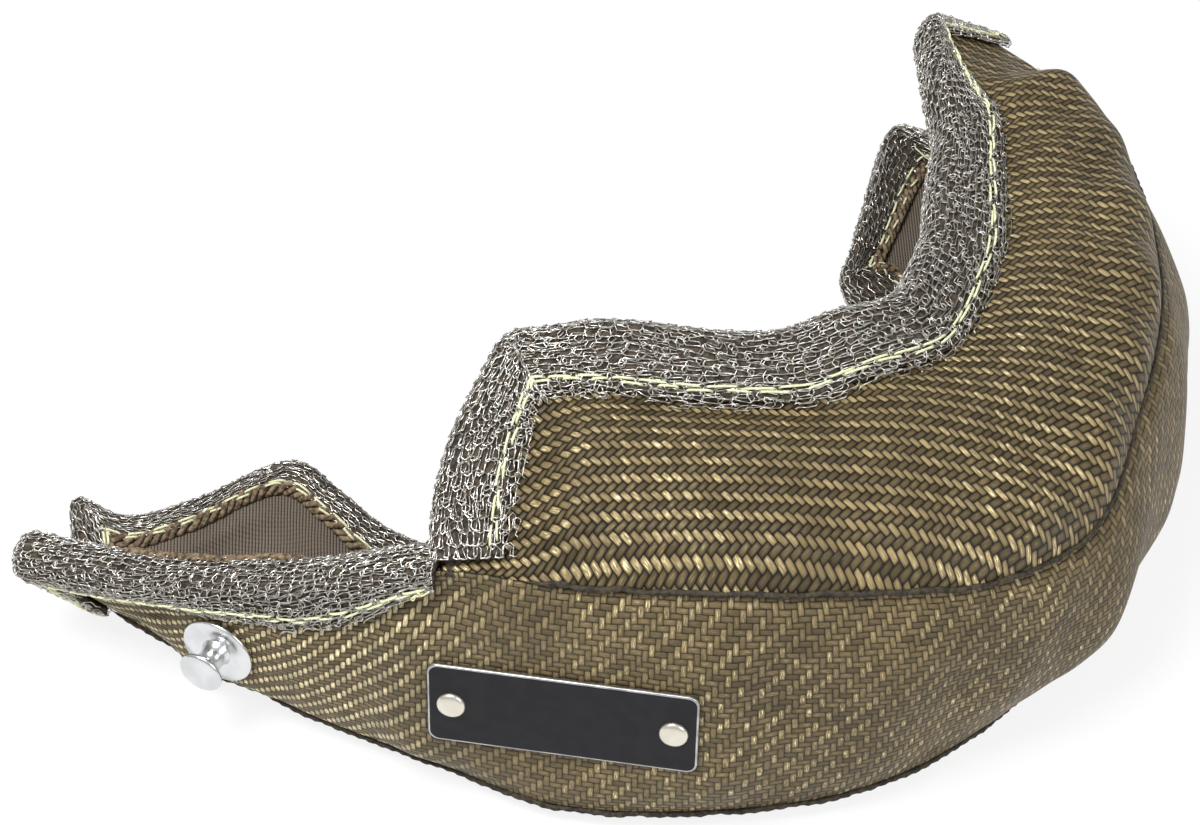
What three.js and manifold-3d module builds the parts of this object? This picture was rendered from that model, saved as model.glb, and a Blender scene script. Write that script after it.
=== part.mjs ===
// Quilted heat blanket for a turbine housing: a C-shaped channel of woven cover,
// fibre core and ribbed lining, bound all round with knitted wire mesh.
// Millimetres, +Z up. The blanket lies on its back panel, tail to -X, front panel on top.
// The finished group is moved so its origin is the bottom centre of its box.

import * as THREE from 'three';
import ManifoldModule from 'manifold-3d';

// Layers of the quilt
const COVER = 1.3;
const LINING = 0.9;
const GAP = 0.3;
const CORE_GAP = 1.25;
const LEG_GAP = 0.85;
const EDGE_THICKNESS = 5.5;
const SEAM_THICKNESS = 5;
const SEAM_GAP = 0.65;

// Edge binding, a folded strip of knitted mesh
const LEG = 13;
const STITCH_AT = 10;
const BINDING = 1.3;
const NOSE = 3;
const CORNER_ROUND = 3;
const FADE = 30;

// Where the panels start and how far they puff out
const FRONT_START = 88;
const SWELL_FROM = 10;
const FRONT_PUFF = 7;
const BACK_PUFF = 9.2;
const FLAT_END = 14;
const TAIL_POINT = 12;
const TAIL_FLAP = 8;
const MOUTH_LOBE = 18;
const MOUTH_POINT = 6;
const FRONT_BOW = 4;

// Name plate and its rivets
const PLATE_LENGTH = 56;
const PLATE_HEIGHT = 20;
const PLATE_THICKNESS = 1;
const PLATE_CORNER = 2.2;
const RIVET_INSET = 5;
const RIVET_SPACING = PLATE_LENGTH - 2 * RIVET_INSET;
const RIVET_HEAD = 6;
const RIVET_SHANK = 2.4;

// Lacing studs
const STUD_BASE = 16.5;
const STUD_HEAD = 10;
const STUD_POST = 5.8;
const STUD_STANDOFF = 5.4;
const STUD_SHANK = 3.6;
const STUD_BACKING = 12;

// Crossing stations from the tail end round to the mouth. x, y place the outer line,
// turn is the heading of the section in degrees from +Y toward +X, top and foot are the
// heights of the two seams, lean is how far the foot stands outside the top, puff is the
// bulge of the rim, front and back are the inner edges: distance in and height.
const STATIONS = [
  { x: -138, y: -60, turn: 18, top: 26, foot: 15, lean: -5, puff: 1, front: [30, 60], back: [23, 19] },
  { x: -129, y: -64, turn: 18, top: 28.5, foot: 13.5, lean: -4, puff: 1.5, front: [34, 63], back: [23, 15] },
  { x: -120, y: -68, turn: 18, top: 31.5, foot: 12, lean: -3, puff: 2, front: [38, 66], back: [33, 15] },
  { x: -108, y: -73.2, turn: 17.5, top: 37, foot: 9.5, lean: -2, puff: 2.5, front: [43, 70.5], back: [51, 16] },
  { x: -97, y: -77, turn: 17, top: 42.5, foot: 7.5, lean: -1, puff: 3, front: [45, 74], back: [48.5, 14] },
  { x: -83, y: -82, turn: 17, top: 48.5, foot: 6, lean: 1, puff: 3.5, front: [46, 78], back: [44, 10] },
  { x: -56, y: -88, turn: 17, top: 61, foot: 5, lean: 6, puff: 4, front: [46, 82], back: [41, 6] },
  { x: -30, y: -93, turn: 9, top: 62, foot: 5, lean: 12, puff: 4, front: [49, 85], back: [46, 5] },
  { x: 0, y: -95, turn: 0, top: 62, foot: 5, lean: 11, puff: 4, front: [48, 84.2], back: [47, 5] },
  { x: 28, y: -93, turn: -16, top: 60, foot: 5, lean: 8, puff: 5, front: [49, 83.5], back: [48, 5] },
  { x: 55, y: -87, turn: -32, top: 56, foot: 5, lean: 0, puff: 4, front: [54, 85], back: [52, 5] },
  { x: 78, y: -70, turn: -47, top: 53, foot: 5, lean: -4, puff: 8, front: [53, 82.5], back: [52, 5] },
  { x: 90, y: -43, turn: -64, top: 59, foot: 5, lean: 1, puff: 7, front: [50, 80], back: [50, 5] },
  { x: 98, y: -14, turn: -82, top: 62, foot: 5, lean: 2, puff: 8, front: [49, 79], back: [50, 5] },
  { x: 99, y: 16, turn: -99, top: 62, foot: 5, lean: 2, puff: 8, front: [48, 78], back: [50, 6] },
  { x: 94, y: 43, turn: -115, top: 62, foot: 7, lean: 0, puff: 6, front: [44, 77], back: [50, 8] },
  { x: 84, y: 61, turn: -126, top: 62, foot: 13, lean: 0, puff: 4, front: [35, 77], back: [50, 10] },
  { x: 71, y: 76, turn: -137, top: 62, foot: 26, lean: 0, puff: 3, front: [19, 76], back: [50, 14] },
];

// Overall sizes: the stations above are drawn for these three and stretch with them
const DRAWN = { across: 237, deep: 171, tall: 86 };
const ACROSS = 237;
const DEEP = 171;
const TALL = 86;

const wasm = await ManifoldModule();
wasm.setup();

// Small helpers
const lerp = THREE.MathUtils.lerp;
const step = (x, a, b) => THREE.MathUtils.smoothstep(x, a, b);
const rad = THREE.MathUtils.degToRad;
const v2 = (x, y) => new THREE.Vector2(x, y);

// A smooth value through the stations at a fractional station number
function through(values, k) {
  const last = values.length - 1;
  const i = Math.min(Math.floor(k), last - 1);
  const t = k - i;
  const p = (n) => values[Math.max(0, Math.min(last, n))];
  const m0 = (p(i + 1) - p(i - 1)) / 2;
  const m1 = (p(i + 2) - p(i)) / 2;
  const t2 = t * t;
  const t3 = t2 * t;
  return (2 * t3 - 3 * t2 + 1) * p(i) + (t3 - 2 * t2 + t) * m0
    + (-2 * t3 + 3 * t2) * p(i + 1) + (t3 - t2) * m1;
}

const column = (pick) => STATIONS.map(pick);
const COLUMNS = {
  x: column((r) => r.x * (ACROSS / DRAWN.across)),
  y: column((r) => r.y * (DEEP / DRAWN.deep)),
  turn: column((r) => r.turn),
  top: column((r) => r.top * (TALL / DRAWN.tall)),
  foot: column((r) => r.foot * (TALL / DRAWN.tall)),
  lean: column((r) => r.lean),
  puff: column((r) => r.puff),
  frontIn: column((r) => r.front[0]),
  frontUp: column((r) => r.front[1] * (TALL / DRAWN.tall)),
  backIn: column((r) => r.back[0]),
  backUp: column((r) => r.back[1] * (TALL / DRAWN.tall)),
};

// Length along the outer line, so everything else is placed in millimetres from the tail
const STEPS = 600;
const lengths = [0];
for (let i = 1; i <= STEPS; i += 1) {
  const at = (n) => v2(
    through(COLUMNS.x, (n / STEPS) * (STATIONS.length - 1)),
    through(COLUMNS.y, (n / STEPS) * (STATIONS.length - 1)),
  );
  lengths.push(lengths[i - 1] + at(i).distanceTo(at(i - 1)));
}
const TOTAL = lengths[STEPS];

function stationNumber(s) {
  const want = Math.max(0, Math.min(TOTAL, s));
  let low = 0;
  let high = STEPS;
  while (high - low > 1) {
    const mid = (low + high) >> 1;
    if (lengths[mid] <= want) low = mid;
    else high = mid;
  }
  const t = (want - lengths[low]) / (lengths[high] - lengths[low]);
  return ((low + t) / STEPS) * (STATIONS.length - 1);
}

// One crossing section: corner points of the channel in (in, up) and its frame in space
function section(s) {
  const k = stationNumber(s);
  const read = (name) => through(COLUMNS[name], k);
  const turn = rad(read('turn'));
  const inward = new THREE.Vector3(Math.sin(turn), Math.cos(turn), 0);
  const along = new THREE.Vector3(Math.cos(turn), -Math.sin(turn), 0);
  const top = v2(0, read('top'));
  const foot = v2(-read('lean'), read('foot'));
  const front = v2(read('frontIn'), read('frontUp'));
  const back = v2(read('backIn'), read('backUp'));
  const ends = step(s, FLAT_END, FLAT_END + 14) * (1 - step(s, TOTAL - FLAT_END - 14, TOTAL - FLAT_END));
  return { s, inward, along, top, foot, front, back, puff: read('puff') * ends, ends, origin: v2(read('x'), read('y')) };
}

const bump = (t) => (t <= 0 || t >= 1 ? 0 : 1 - Math.abs(2 * t - 1) ** 2.6);
const right = (d) => v2(-d.y, d.x);

// The fold line of a seam: from the outer crease to the inner one
function mitre(corner, dirA, dirB, thickness) {
  const sum = dirA.clone().add(dirB).normalize();
  const half = Math.acos(THREE.MathUtils.clamp(dirA.dot(dirB), -1, 1)) / 2;
  const inner = corner.clone().addScaledVector(sum, thickness / Math.sin(half));
  return { inner, shift: SEAM_GAP / 2 / Math.sin(half) };
}

// Outer and inner skin of one panel at a section, as end points and bulge
function panelLines(panel, sec) {
  const rimDir = sec.foot.clone().sub(sec.top).normalize();
  const frontDir = sec.front.clone().sub(sec.top).normalize();
  const backDir = sec.back.clone().sub(sec.foot).normalize();
  const upDir = rimDir.clone().negate();
  const seamTop = mitre(sec.top, frontDir, rimDir, SEAM_THICKNESS);
  const seamFoot = mitre(sec.foot, backDir, upDir, SEAM_THICKNESS);
  if (panel === 'rim') {
    const closed = step(sec.s, FRONT_START - 4, FRONT_START - 0.5);
    const square = sec.top.clone().addScaledVector(right(rimDir), EDGE_THICKNESS);
    const topInner = square.lerp(seamTop.inner, closed);
    const shiftTop = seamTop.shift * closed;
    return {
      o0: sec.top.clone().addScaledVector(rimDir, shiftTop),
      i0: topInner.addScaledVector(rimDir, shiftTop),
      o1: sec.foot.clone().addScaledVector(rimDir, -seamFoot.shift),
      i1: seamFoot.inner.clone().addScaledVector(rimDir, -seamFoot.shift),
      out: right(rimDir).negate(),
      puff: sec.puff,
      from: (1 - step(sec.s, FRONT_START, FRONT_START + 14)) * SWELL_FROM / sec.top.distanceTo(sec.foot),
      to: 1,
    };
  }
  if (panel === 'front') {
    const width = sec.front.distanceTo(sec.top);
    const grown = step(sec.s, FRONT_START + FLAT_END, FRONT_START + FLAT_END + 14);
    return {
      o0: sec.top.clone().addScaledVector(frontDir, seamTop.shift),
      i0: seamTop.inner.clone().addScaledVector(frontDir, seamTop.shift),
      o1: sec.front.clone(),
      i1: sec.front.clone().addScaledVector(right(frontDir), -EDGE_THICKNESS),
      out: right(frontDir),
      puff: FRONT_PUFF * sec.ends * grown * step(width, 20, 40),
      from: 0,
      to: 1 - (LEG + 1) / width,
    };
  }
  return {
    o0: sec.foot.clone().addScaledVector(backDir, seamFoot.shift),
    i0: seamFoot.inner.clone().addScaledVector(backDir, seamFoot.shift),
    o1: sec.back.clone(),
    i1: sec.back.clone().addScaledVector(right(backDir), EDGE_THICKNESS),
    out: right(backDir).negate(),
    puff: BACK_PUFF * sec.ends,
    from: 0,
    to: 1 - (LEG + 1) / sec.back.distanceTo(sec.foot),
  };
}

const cache = new Map();
function lines(panel, s) {
  const key = `${panel}:${s.toFixed(5)}`;
  if (!cache.has(key)) {
    const sec = section(s);
    cache.set(key, { sec, ...panelLines(panel, sec) });
  }
  return cache.get(key);
}

const panelWidth = (panel, s) => {
  const l = lines(panel, s);
  return l.o0.distanceTo(l.o1);
};

// Flat pads pressed into the rim under the plate and the studs, filled in below
const pads = [];

const inSpace = (sec, p) => new THREE.Vector3(sec.origin.x, sec.origin.y, p.y)
  .addScaledVector(sec.inward, p.x);

function skinPoint(panel, s, v, depth) {
  const l = lines(panel, s);
  const swell = l.puff * bump((v - l.from) / (l.to - l.from));
  const outer = l.o0.clone().lerp(l.o1, v).addScaledVector(l.out, swell);
  const inner = l.i0.clone().lerp(l.i1, v).addScaledVector(l.out, swell * 0.35);
  const across = outer.clone().sub(inner);
  const thick = across.dot(l.out);
  const p = outer.clone().addScaledVector(across, -depth / thick);
  if (panel === 'back') p.y += Math.max(0, -outer.y);
  return { p, outer, thick, l };
}

// How far the cut ends run out past their section, so the ends are not square
function endReach(panel, s, v) {
  const tail = 1 - step(s, 0, 44);
  const mouth = step(s, TOTAL - 40, TOTAL);
  if (panel === 'rim') return -TAIL_POINT * tail * (1 - v);
  if (panel === 'back') return -TAIL_FLAP * tail * v + MOUTH_LOBE * mouth * Math.sin(Math.PI * v ** 0.33);
  const left = 1 - step(s, FRONT_START, FRONT_START + 36);
  return MOUTH_POINT * mouth * v - FRONT_BOW * left * Math.sin(Math.PI * v ** 0.9);
}

const thicknessAt = (panel, s, v) => skinPoint(panel, s, v, 0).thick;

// A point of the quilt: panel, distance along, fraction across, depth below the outer skin
function quilt(panel, s, v, depth) {
  const { p, outer, l } = skinPoint(panel, s, v, depth);
  const point = inSpace(l.sec, p);
  point.addScaledVector(l.sec.along, endReach(panel, s, v));
  if (panel !== 'rim') return point;
  const surface = inSpace(l.sec, outer).addScaledVector(l.sec.along, endReach(panel, s, v));
  for (const pad of pads) {
    if (Math.abs(s - pad.s) > 2 * (pad.halfX + pad.fall)) continue;
    const off = surface.clone().sub(pad.centre);
    const x = Math.abs(off.dot(pad.along));
    const y = Math.abs(off.dot(pad.up));
    const away = Math.hypot(Math.max(0, x - pad.halfX), Math.max(0, y - pad.halfY));
    const weight = 1 - step(away, 0, pad.fall);
    if (weight > 0) {
      const flat = surface.clone().addScaledVector(pad.out, -off.dot(pad.out) - depth);
      point.lerp(flat, weight);
    }
  }
  return point;
}

function makePad(s, v, halfX, halfY, fall, sink) {
  const at = (ds, dv) => quilt('rim', s + ds, v + dv, 0);
  const along = at(halfX, 0).sub(at(-halfX, 0)).normalize();
  const up = at(0, -0.12).sub(at(0, 0.12)).normalize();
  const out = along.clone().cross(up).normalize();
  up.copy(out).cross(along);
  const centre = at(0, 0).addScaledVector(out, -sink);
  return { s, v, centre, along, up, out, halfX, halfY, fall };
}

const PLATE_AT = { s: 113.5, v: 0.54 };
const STUDS_AT = [{ s: 37.5, v: 0.56 }, { s: TOTAL - 42, v: 0.72 }];
const platePad = makePad(PLATE_AT.s, PLATE_AT.v, 30, 11, 16, 2);
const studPads = STUDS_AT.map((a) => makePad(a.s, a.v, 7.5, 7.5, 8, 0.2));
pads.push(platePad, ...studPads);

// Closed solids from a grid of rings. mates pairs the ring's first points with the points
// across from them, so each end is closed by a strip
function solidFromRings(rings, mates) {
  const count = rings[0].length;
  const positions = [];
  for (const ring of rings) {
    for (const p of ring) positions.push(p.x, p.y, p.z);
  }
  const index = [];
  for (let r = 0; r < rings.length - 1; r += 1) {
    for (let c = 0; c < count; c += 1) {
      const d = (c + 1) % count;
      const a = r * count;
      const b = a + count;
      index.push(a + c, b + c, b + d, a + c, b + d, a + d);
    }
  }
  const last = (rings.length - 1) * count;
  const close = (i, j, k) => index.push(i, j, k, last + i, last + k, last + j);
  for (let i = 0; i < mates.length - 1; i += 1) {
    close(i, i + 1, mates[i]);
    if (mates[i + 1] !== mates[i]) close(i + 1, mates[i + 1], mates[i]);
  }
  const geometry = new THREE.BufferGeometry();
  geometry.setAttribute('position', new THREE.Float32BufferAttribute(positions, 3));
  geometry.setIndex(index);
  return facingOut(geometry);
}

function facingOut(geometry) {
  const p = geometry.attributes.position;
  const index = geometry.index.array;
  const a = new THREE.Vector3();
  const b = new THREE.Vector3();
  const c = new THREE.Vector3();
  let volume = 0;
  for (let i = 0; i < index.length; i += 3) {
    a.fromBufferAttribute(p, index[i]);
    b.fromBufferAttribute(p, index[i + 1]);
    c.fromBufferAttribute(p, index[i + 2]);
    volume += a.dot(b.cross(c));
  }
  if (volume < 0) {
    for (let i = 0; i < index.length; i += 3) {
      const keep = index[i + 1];
      index[i + 1] = index[i + 2];
      index[i + 2] = keep;
    }
  }
  return geometry;
}

// Soft folds pushed up in the covers, none under the bindings or the plate
function fold(panel, s, v) {
  if (panel === 'front') {
    const near = step(s, FRONT_START + 20, FRONT_START + 40) * (1 - step(s, TOTAL - 50, TOTAL - 25));
    const across = (1 - step(v, 0.2, 0.62)) * step(v, 0, 0.12);
    return 1.3 * near * across * (0.5 + 0.5 * Math.sin(s / 4.1 + Math.sin(s / 23)));
  }
  if (panel === 'rim') {
    const near = step(s, FRONT_START + 70, FRONT_START + 100) * (1 - step(s, TOTAL - 60, TOTAL - 50));
    const across = Math.sin(Math.PI * v) ** 2;
    return 1.6 * near * across * (0.5 + 0.5 * Math.sin(s / 5.3 + 2.2 * v + Math.sin(s / 17)));
  }
  return 0;
}

const facing = (count) => Array.from({ length: count / 2 }, (_, i) => count - 1 - i);

// One layer of one panel between two depths
function layer(panel, stops, fractions, depthOuter, depthInner, folded) {
  const rings = [];
  for (const s of stops) {
    const l = lines(panel, s);
    const across = fractions(l);
    const lift = (v) => (folded ? fold(panel, s, v) : 0);
    const outer = across.map((v) => quilt(panel, s, v, depthOuter(panel, s, v) - lift(v)));
    const inner = across.map((v) => quilt(panel, s, v, depthInner(panel, s, v) - lift(v)));
    rings.push([...outer, ...inner.reverse()]);
  }
  return solidFromRings(rings, facing(rings[0].length));
}

const evenly = (n) => () => Array.from({ length: n + 1 }, (_, i) => i / n);
const toBinding = (n, m) => (l) => [
  ...Array.from({ length: n }, (_, i) => l.to * (0.5 - 0.5 * Math.cos((Math.PI * i) / n))),
  ...Array.from({ length: m + 1 }, (_, i) => lerp(l.to, 1, i / m)),
];

const zero = () => 0;
const coverInside = () => COVER;
const coreOutside = () => COVER + CORE_GAP;
const coreInside = (panel, s, v) => thicknessAt(panel, s, v) - LINING - CORE_GAP;
const liningOutside = (panel, s, v) => thicknessAt(panel, s, v) - LINING;
const liningInside = (panel, s, v) => thicknessAt(panel, s, v);

function panelLayers(panel, stops, fractions) {
  return {
    cover: layer(panel, stops, fractions, zero, coverInside, true),
    core: layer(panel, stops, fractions, coreOutside, coreInside, false),
    lining: layer(panel, stops, fractions, liningOutside, liningInside, false),
  };
}

// Where the sections are taken: close together where the shape turns quickly
const span = (from, to, pitch) => {
  const n = Math.max(1, Math.round(Math.abs(to - from) / pitch));
  return Array.from({ length: n + 1 }, (_, i) => lerp(from, to, i / n));
};
const stopsThrough = (marks) => marks.slice(1).flatMap(([to, pitch], i) => {
  const list = span(marks[i][0], to, pitch);
  return i === 0 ? list : list.slice(1);
});
const RIM_STOPS = stopsThrough([
  [0], [28, 4], [52, 3.5], [FRONT_START - 4, 5.5], [FRONT_START - 0.5, 3.5], [150, 6], [TOTAL - 66, 9.5], [TOTAL, 5.5],
]);
const FRONT_STOPS = stopsThrough([
  [FRONT_START], [FRONT_START + 36, 4], [TOTAL - 44, 8], [TOTAL, 4.4],
]);
const BACK_STOPS = stopsThrough([[0], [60, 4], [TOTAL - 44, 10], [TOTAL, 4.4]]);

// Places on the quilt measured from a corner: x from the end edge, y from the long edge
const cornerPlace = {
  tailTop: (x, y) => ({ panel: 'rim', s: x, v: y / panelWidth('rim', x) }),
  tailBack: (x, y) => ({ panel: 'back', s: x, v: 1 - y / panelWidth('back', x) }),
  mouthBack: (x, y) => ({ panel: 'back', s: TOTAL - x, v: 1 - y / panelWidth('back', TOTAL - x) }),
  mouthFront: (x, y) => ({ panel: 'front', s: TOTAL - x, v: 1 - y / panelWidth('front', TOTAL - x) }),
  frontLeft: (x, y) => ({ panel: 'front', s: FRONT_START + x, v: 1 - y / panelWidth('front', FRONT_START + x) }),
};

const roundness = (d) => Math.max(CORNER_ROUND - d, 0.35);
const spread = (d, t, fade) => (d + roundness(d)) * Math.max(0, 1 - t / fade);

// A row of the binding: a function from distance in and depth to a point in space
const onLong = (corner, t, leg = 1) => (d, depth) => {
  const e = d * leg;
  const at = cornerPlace[corner](t + spread(e, t, FADE), e);
  return quilt(at.panel, at.s, at.v, depth(at));
};
const onEnd = (corner, t, leg = 1, fade = 22) => (d, depth) => {
  const e = d * leg;
  const at = cornerPlace[corner](e, t + spread(e, t, fade));
  return quilt(at.panel, at.s, at.v, depth(at));
};
const onCorner = (corner, angle, leg = 1, endLeg = leg) => (d, depth) => {
  const e = d * lerp(endLeg, leg, angle / (Math.PI / 2));
  const r = roundness(e);
  const at = cornerPlace[corner](e + r * (1 - Math.cos(angle)), e + r * (1 - Math.sin(angle)));
  return quilt(at.panel, at.s, at.v, depth(at));
};
const onSeam = (fromEnd, panelA, vA, panelB, vB, leg = 1) => (d, depth) => {
  const s = fromEnd(d * leg);
  const a = quilt(panelA, s, vA, depth({ panel: panelA, s, v: vA }));
  const b = quilt(panelB, s, vB, depth({ panel: panelB, s, v: vB }));
  return a.lerp(b, 0.5);
};

const above = (h) => () => -h;
const below = (h) => (at) => thicknessAt(at.panel, at.s, at.v) + h;

// The folded strip round an edge as one ring of points
function bindingRing(row, pocket = LEG_GAP) {
  const full = LEG_GAP + BINDING;
  const legHeights = [[LEG, LEG_GAP + 1.2], [STITCH_AT, LEG_GAP + 0.9], [LEG / 2, full], [0, full]];
  const points = legHeights.map(([d, h]) => row(d, above(h)));
  const a = row(0, above(full));
  const b = row(0, below(full));
  const centre = a.clone().lerp(b, 0.5);
  const half = a.clone().sub(centre);
  const out = row(0, above(0)).lerp(row(0, below(0)), 0.5)
    .sub(row(2, above(0)).lerp(row(2, below(0)), 0.5)).normalize();
  for (const angle of [36, 72, 108, 144]) {
    points.push(centre.clone()
      .addScaledVector(half, Math.cos(rad(angle)))
      .addScaledVector(out, NOSE * Math.sin(rad(angle))));
  }
  for (const [d, h] of [...legHeights].reverse()) points.push(row(d, below(h)));
  points.push(row(LEG, below(LEG_GAP)), row(LEG / 2, below(LEG_GAP)));
  points.push(row(0, below(LEG_GAP)).addScaledVector(out, pocket));
  points.push(row(0, above(LEG_GAP)).addScaledVector(out, pocket));
  points.push(row(LEG / 2, above(LEG_GAP)), row(LEG, above(LEG_GAP)));
  return points;
}

const QUARTER = [0, 22.5, 45, 67.5, 90].map(rad);
const fromMouth = (d) => TOTAL - d;

// Rows of the four binding strips, each as [row, pocket]
const rimTail = panelWidth('rim', 0);
const backTail = panelWidth('back', 0);
const rimMouth = panelWidth('rim', TOTAL);
const backMouth = panelWidth('back', TOTAL);
const frontMouth = panelWidth('front', TOTAL);
const frontLeft = panelWidth('front', FRONT_START);
const SHORT = 0.4;
const TAIL_LEG = 0.3;
const TAIL_END_LEG = 0.5;
const MOUTH_LEG = 0.65;
const CORNER_POCKET = 1.9;
const plain = (row) => [row, LEG_GAP];
const wide = (row) => [row, CORNER_POCKET];

const tailLeg = (t) => lerp(TAIL_LEG, 0.8, step(t, 22, 58));
const backLeg = (t) => lerp(TAIL_END_LEG, 1, step(t, 40, 90));
const onRimEnd = (t) => (d, depth) => {
  const s = TOTAL - d * MOUTH_LEG;
  const at = { panel: 'rim', s, v: t / rimMouth };
  return quilt('rim', s, at.v, depth(at));
};
const tailRows = [
  ...span(FRONT_START - 6.5, 1.5, 5.5).map((t) => plain(onLong('tailTop', t, tailLeg(t)))),
  ...[...QUARTER].reverse().map((a) => wide(onCorner('tailTop', a, TAIL_LEG, TAIL_END_LEG))),
  ...span(3, rimTail - 5, 4).map((t) => plain(onEnd('tailTop', t, TAIL_END_LEG))),
  plain(onSeam((d) => d * TAIL_END_LEG, 'rim', 1, 'back', 0)),
  ...span(backTail - 7, 10, 5).map((t) => plain(onEnd('tailBack', t, TAIL_END_LEG))),
];
const backRows = [
  ...span(9.2, 1.5, 4).map((t) => plain(onEnd('tailBack', t, TAIL_END_LEG))),
  ...QUARTER.map((a) => wide(onCorner('tailBack', a, TAIL_END_LEG))),
  ...span(2, 90, 5.5).map((t) => plain(onLong('tailBack', t, backLeg(t)))),
  ...span(TOTAL - 92, 2, 9.5).map((t) => plain(onLong('mouthBack', t))),
  ...[...QUARTER].reverse().map((a) => wide(onCorner('mouthBack', a, 1, MOUTH_LEG))),
  ...span(2, 8, 3).map((t) => plain(onEnd('mouthBack', t, MOUTH_LEG))),
];
const mouthRows = [
  ...span(8.8, backMouth - 5, 4).map((t) => plain(onEnd('mouthBack', t, MOUTH_LEG))),
  plain(onSeam((d) => TOTAL - d * MOUTH_LEG, 'back', 0, 'rim', 1)),
  ...span(rimMouth - 7, 7, 6).map((t) => plain(onRimEnd(t))),
];
const frontRows = [
  plain(onSeam(fromMouth, 'rim', 0, 'front', 0, SHORT)),
  ...span(frontMouth - 6, 3, 4).map((t) => plain(onEnd('mouthFront', t, SHORT, 16))),
  ...QUARTER.map((a) => wide(onCorner('mouthFront', a, SHORT))),
  ...span(2, 30, 4.5).map((t) => plain(onLong('mouthFront', t, lerp(SHORT, 1, t / 30)))),
  ...span(37, TOTAL - FRONT_START - 37, 8).map((t) => plain(onLong('mouthFront', t))),
  ...span(30, 1.5, 5).map((t) => plain(onLong('frontLeft', t))),
  ...[...QUARTER].reverse().map((a) => wide(onCorner('frontLeft', a))),
  ...span(2, frontLeft - 3.5, 5).map((t) => plain(onEnd('frontLeft', t))),
];

const BINDING_MATES = [17, 17, 16, 15, 15, 15, 14, 14, 14, 13, 12, 12];
const binding = (rows) => solidFromRings(rows.map(([row, pocket]) => bindingRing(row, pocket)), BINDING_MATES);

// Round cords laid along rows
function cord(points, radius, sides) {
  const path = points.map((p) => p.clone());
  const rings = path.map((p, i) => {
    const ahead = path[Math.min(path.length - 1, i + 1)];
    const behind = path[Math.max(0, i - 1)];
    const tangent = ahead.clone().sub(behind).normalize();
    const side = tangent.clone().cross(new THREE.Vector3(0, 0, 1));
    if (side.length() < 0.2) side.copy(tangent).cross(new THREE.Vector3(1, 0, 0));
    side.normalize();
    const lift = side.clone().cross(tangent);
    return Array.from({ length: sides }, (_, j) => {
      const angle = (2 * Math.PI * (j + 0.5)) / sides;
      return p.clone().addScaledVector(side, radius * Math.cos(angle))
        .addScaledVector(lift, radius * Math.sin(angle));
    });
  });
  return solidFromRings(rings, facing(sides));
}

// Cutting
function toSolid(geometry) {
  const mesh = new wasm.Mesh({
    numProp: 3,
    vertProperties: new Float32Array(geometry.attributes.position.array),
    triVerts: new Uint32Array(geometry.index.array),
  });
  return new wasm.Manifold(mesh);
}

function toGeometry(solid) {
  const mesh = solid.getMesh();
  const geometry = new THREE.BufferGeometry();
  geometry.setAttribute('position', new THREE.BufferAttribute(new Float32Array(mesh.vertProperties), 3));
  geometry.setIndex([...mesh.triVerts]);
  return geometry;
}

// A frame on a pad, with its outer face as the zero of height
function padMatrix(pad, x = 0, y = 0, height = 0) {
  const origin = pad.centre.clone()
    .addScaledVector(pad.along, x)
    .addScaledVector(pad.up, y)
    .addScaledVector(pad.out, height);
  return new THREE.Matrix4().makeBasis(pad.along, pad.up, pad.out).setPosition(origin);
}

function hole(matrix, radius, from, to) {
  const rod = wasm.Manifold.cylinder(to - from, radius, radius, 20).translate([0, 0, from]);
  return rod.transform(matrix.elements);
}

function bored(geometry, tools) {
  return toGeometry(tools.reduce((solid, tool) => solid.subtract(tool), toSolid(geometry)));
}

// Turned pieces from a half profile of [radius, height], standing along +Z
function turned(profile, segments = 20) {
  const geometry = new THREE.LatheGeometry(profile.map(([r, z]) => v2(r, z)), segments);
  return geometry.rotateX(Math.PI / 2);
}

function rivetProfile(head, shank, length, tail) {
  const r = head / 2;
  return [
    [0, -length - 0.9], [tail * 0.6, -length - 0.8], [tail, -length - 0.3], [tail, -length],
    [shank, -length], [shank, 0], [r, 0], [r, 0.35], [r * 0.75, 0.9], [r * 0.4, 1.15], [0, 1.25],
  ];
}

const washerProfile = (outer, inner, thickness) => [
  [inner, 0], [outer - 0.2, 0], [outer, 0.2], [outer, thickness - 0.2],
  [outer - 0.2, thickness], [inner, thickness], [inner, 0],
];

// Assemble
const group = new THREE.Group();
group.name = 'turbo_heat_blanket';

const cloth = (color, roughness, metalness = 0) => new THREE.MeshStandardMaterial({ color, roughness, metalness });
const MATERIALS = {
  twill: cloth(0x7d6a45, 0.75),
  fibre: cloth(0xd9d4c6, 0.95),
  ribbed: cloth(0x6b5c4e, 0.85),
  mesh: cloth(0x8f877b, 0.5, 0.6),
  thread: cloth(0xc9cc8a, 0.6),
  cord: cloth(0x5d4a33, 0.9),
  plate: cloth(0x1d1e20, 0.4, 0.5),
  pale: cloth(0xcdbfa4, 0.35, 0.9),
  steel: cloth(0xc4c7c9, 0.3, 1),
};
const MATERIAL_NAMES = {
  twill: 'woven_cover',
  fibre: 'fibre_core',
  ribbed: 'ribbed_lining',
  mesh: 'wire_mesh_binding',
  thread: 'sewing_thread',
  cord: 'brown_cord',
  plate: 'black_plate',
  pale: 'pale_rivet',
  steel: 'stud_steel',
};
for (const [key, name] of Object.entries(MATERIAL_NAMES)) MATERIALS[key].name = name;

function add(name, geometry, material, matrix) {
  if (matrix) geometry.applyMatrix4(matrix);
  const mesh = new THREE.Mesh(geometry, MATERIALS[material]);
  mesh.name = name;
  group.add(mesh);
}

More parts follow.
